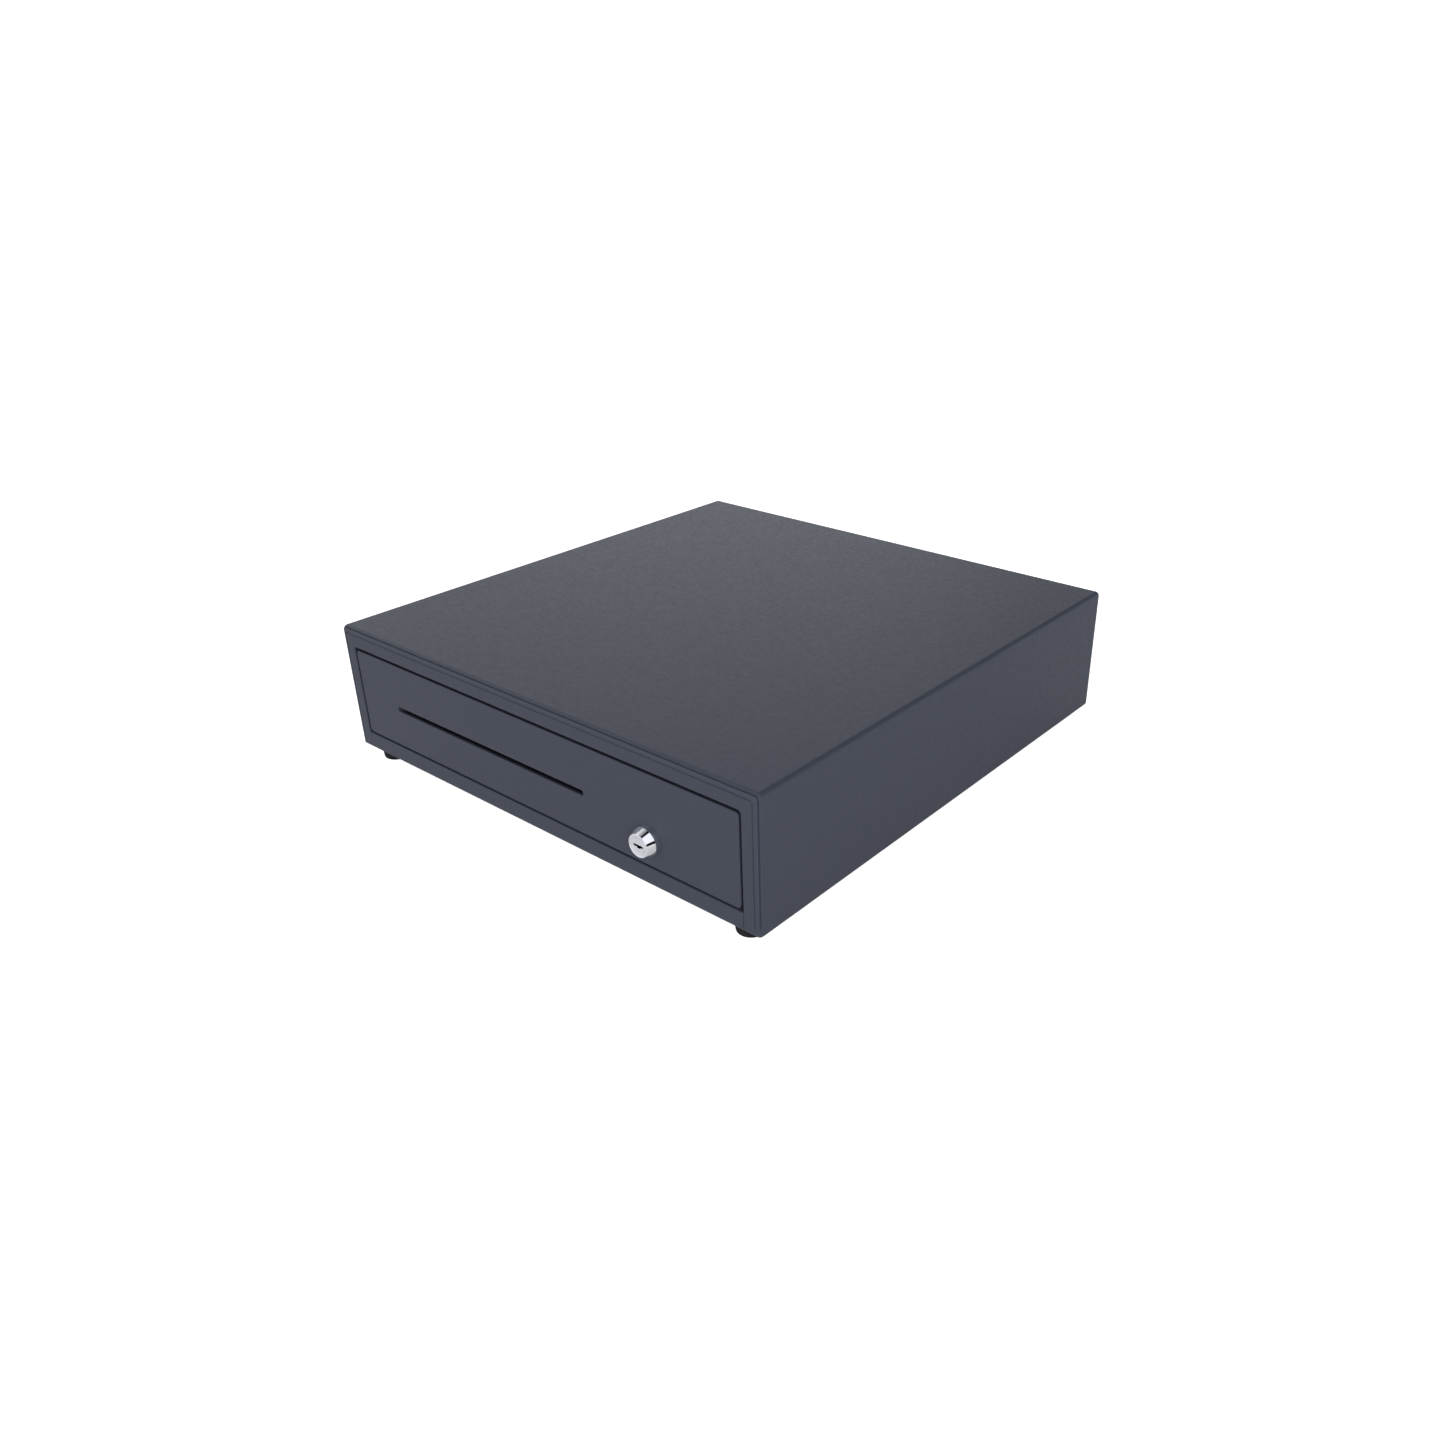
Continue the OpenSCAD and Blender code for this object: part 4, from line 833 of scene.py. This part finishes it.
def make_floor():
    """A pale matt floor; the camera also sees it glow a little, like a lit table, so that it stays white."""
    mesh = bpy.data.meshes.new("floor")
    corners = [(x * FLOOR_SIZE, y * FLOOR_SIZE, 0) for x, y in ((-1, -1), (1, -1), (1, 1), (-1, 1))]
    mesh.from_pydata(corners, [], [(0, 1, 2, 3)])
    finish = Finish("floor_finish", (0.76, 0.76, 0.76), 0.8, Emission_Color=(1, 1, 1, 1))
    finish.tint(finish.ramp(finish.noise(0.6), 0.4, 0.7, 0.0, 0.2), (0.78, 0.78, 0.78))
    seen = finish.node("ShaderNodeLightPath").outputs["Is Camera Ray"]
    finish.link(finish.math("MULTIPLY", seen, FLOOR_GLOW), finish.bsdf.inputs["Emission Strength"])
    mesh.materials.append(finish.material)
    placed("floor", mesh, (0, 0, -FLOOR_DROP))


def area_light(name, place, target, width, height, power, mirrored=True):
    """A rectangular lamp that faces the target. mirrored says whether glossy things show it."""
    data = bpy.data.lights.new(name, "AREA")
    data.shape = "RECTANGLE"
    data.size = width
    data.size_y = height
    data.energy = power
    look = Vector(target) - Vector(place)
    lamp = placed(name, data, place, look.to_track_quat("-Z", "Y"))
    lamp.visible_glossy = mirrored


def make_surroundings():
    """White low down; higher up, bright on the left and dark on the right, with the patches laid over."""
    world = bpy.data.worlds.new("studio")
    bpy.context.scene.world = world
    world.use_nodes = True
    sky = Nodes(world.node_tree)
    axes = sky.node("ShaderNodeSeparateXYZ")
    sky.link(sky.node("ShaderNodeTexCoord").outputs["Generated"], axes.inputs[0])
    x, _, z = axes.outputs
    high_up = sky.ramp(z, 0.1, 0.25, smooth=True)
    light = sky.towards(SKY_LOW, sky.ramp(x, -0.9, -0.05, SKY_LEFT, SKY_RIGHT), high_up)
    for *bounds, strength in SKY_PATCHES:
        mask = 1.0
        for axis, (low, high) in zip(axes.outputs, bounds):
            mask = sky.math("MULTIPLY", mask, sky.ramp(axis, low, low + PATCH_BLUR))
            mask = sky.math("MULTIPLY", mask, sky.ramp(axis, high, high + PATCH_BLUR, 1.0, 0.0))
        light = sky.towards(light, strength, mask)
    seen = sky.node("ShaderNodeLightPath").outputs["Is Camera Ray"]
    background = world.node_tree.nodes["Background"]
    background.inputs["Color"].default_value = SKY_COLOR
    sky.link(sky.towards(light, SKY_LOW, seen), background.inputs["Strength"])


def make_lights():
    """A weak broad lamp in front and a soft one on the right, which leaves no glare on the top."""
    front, right, height = (-0.3, -2.3, 0.85), (1.9, -1.62, 0.85), 0.05
    area_light("front_box", front, (0, 0, height), width=3.2, height=1.5, power=2)
    area_light("side_box", right, (0.1, 0, height), width=1.5, height=1.4, power=52, mirrored=False)


def make_camera():
    """The camera, turned so that its view axis has the photograph's azimuth, elevation and roll."""
    azimuth, elevation, roll = (math.radians(a) for a in (CAMERA_AZIMUTH, CAMERA_ELEVATION, CAMERA_ROLL))
    back = Vector((math.sin(azimuth) * math.cos(elevation), -math.cos(azimuth) * math.cos(elevation),
                   math.sin(elevation)))
    right = Vector((math.cos(azimuth), math.sin(azimuth), 0))
    up = back.cross(right)
    tilted = right * math.cos(roll) + up * math.sin(roll)
    axes = Matrix((tilted, back.cross(tilted), back)).transposed()
    data = bpy.data.cameras.new("camera")
    data.sensor_width = 36.0
    data.lens = CAMERA_LENS
    data.shift_x, data.shift_y = CAMERA_SHIFT
    data.clip_start = 0.02
    data.clip_end = 100
    bpy.context.scene.camera = placed("camera", data, CAMERA_PLACE, axes.to_quaternion())


make_floor()
make_surroundings()
make_lights()
make_camera()
bpy.context.scene.view_settings.view_transform = "Standard"
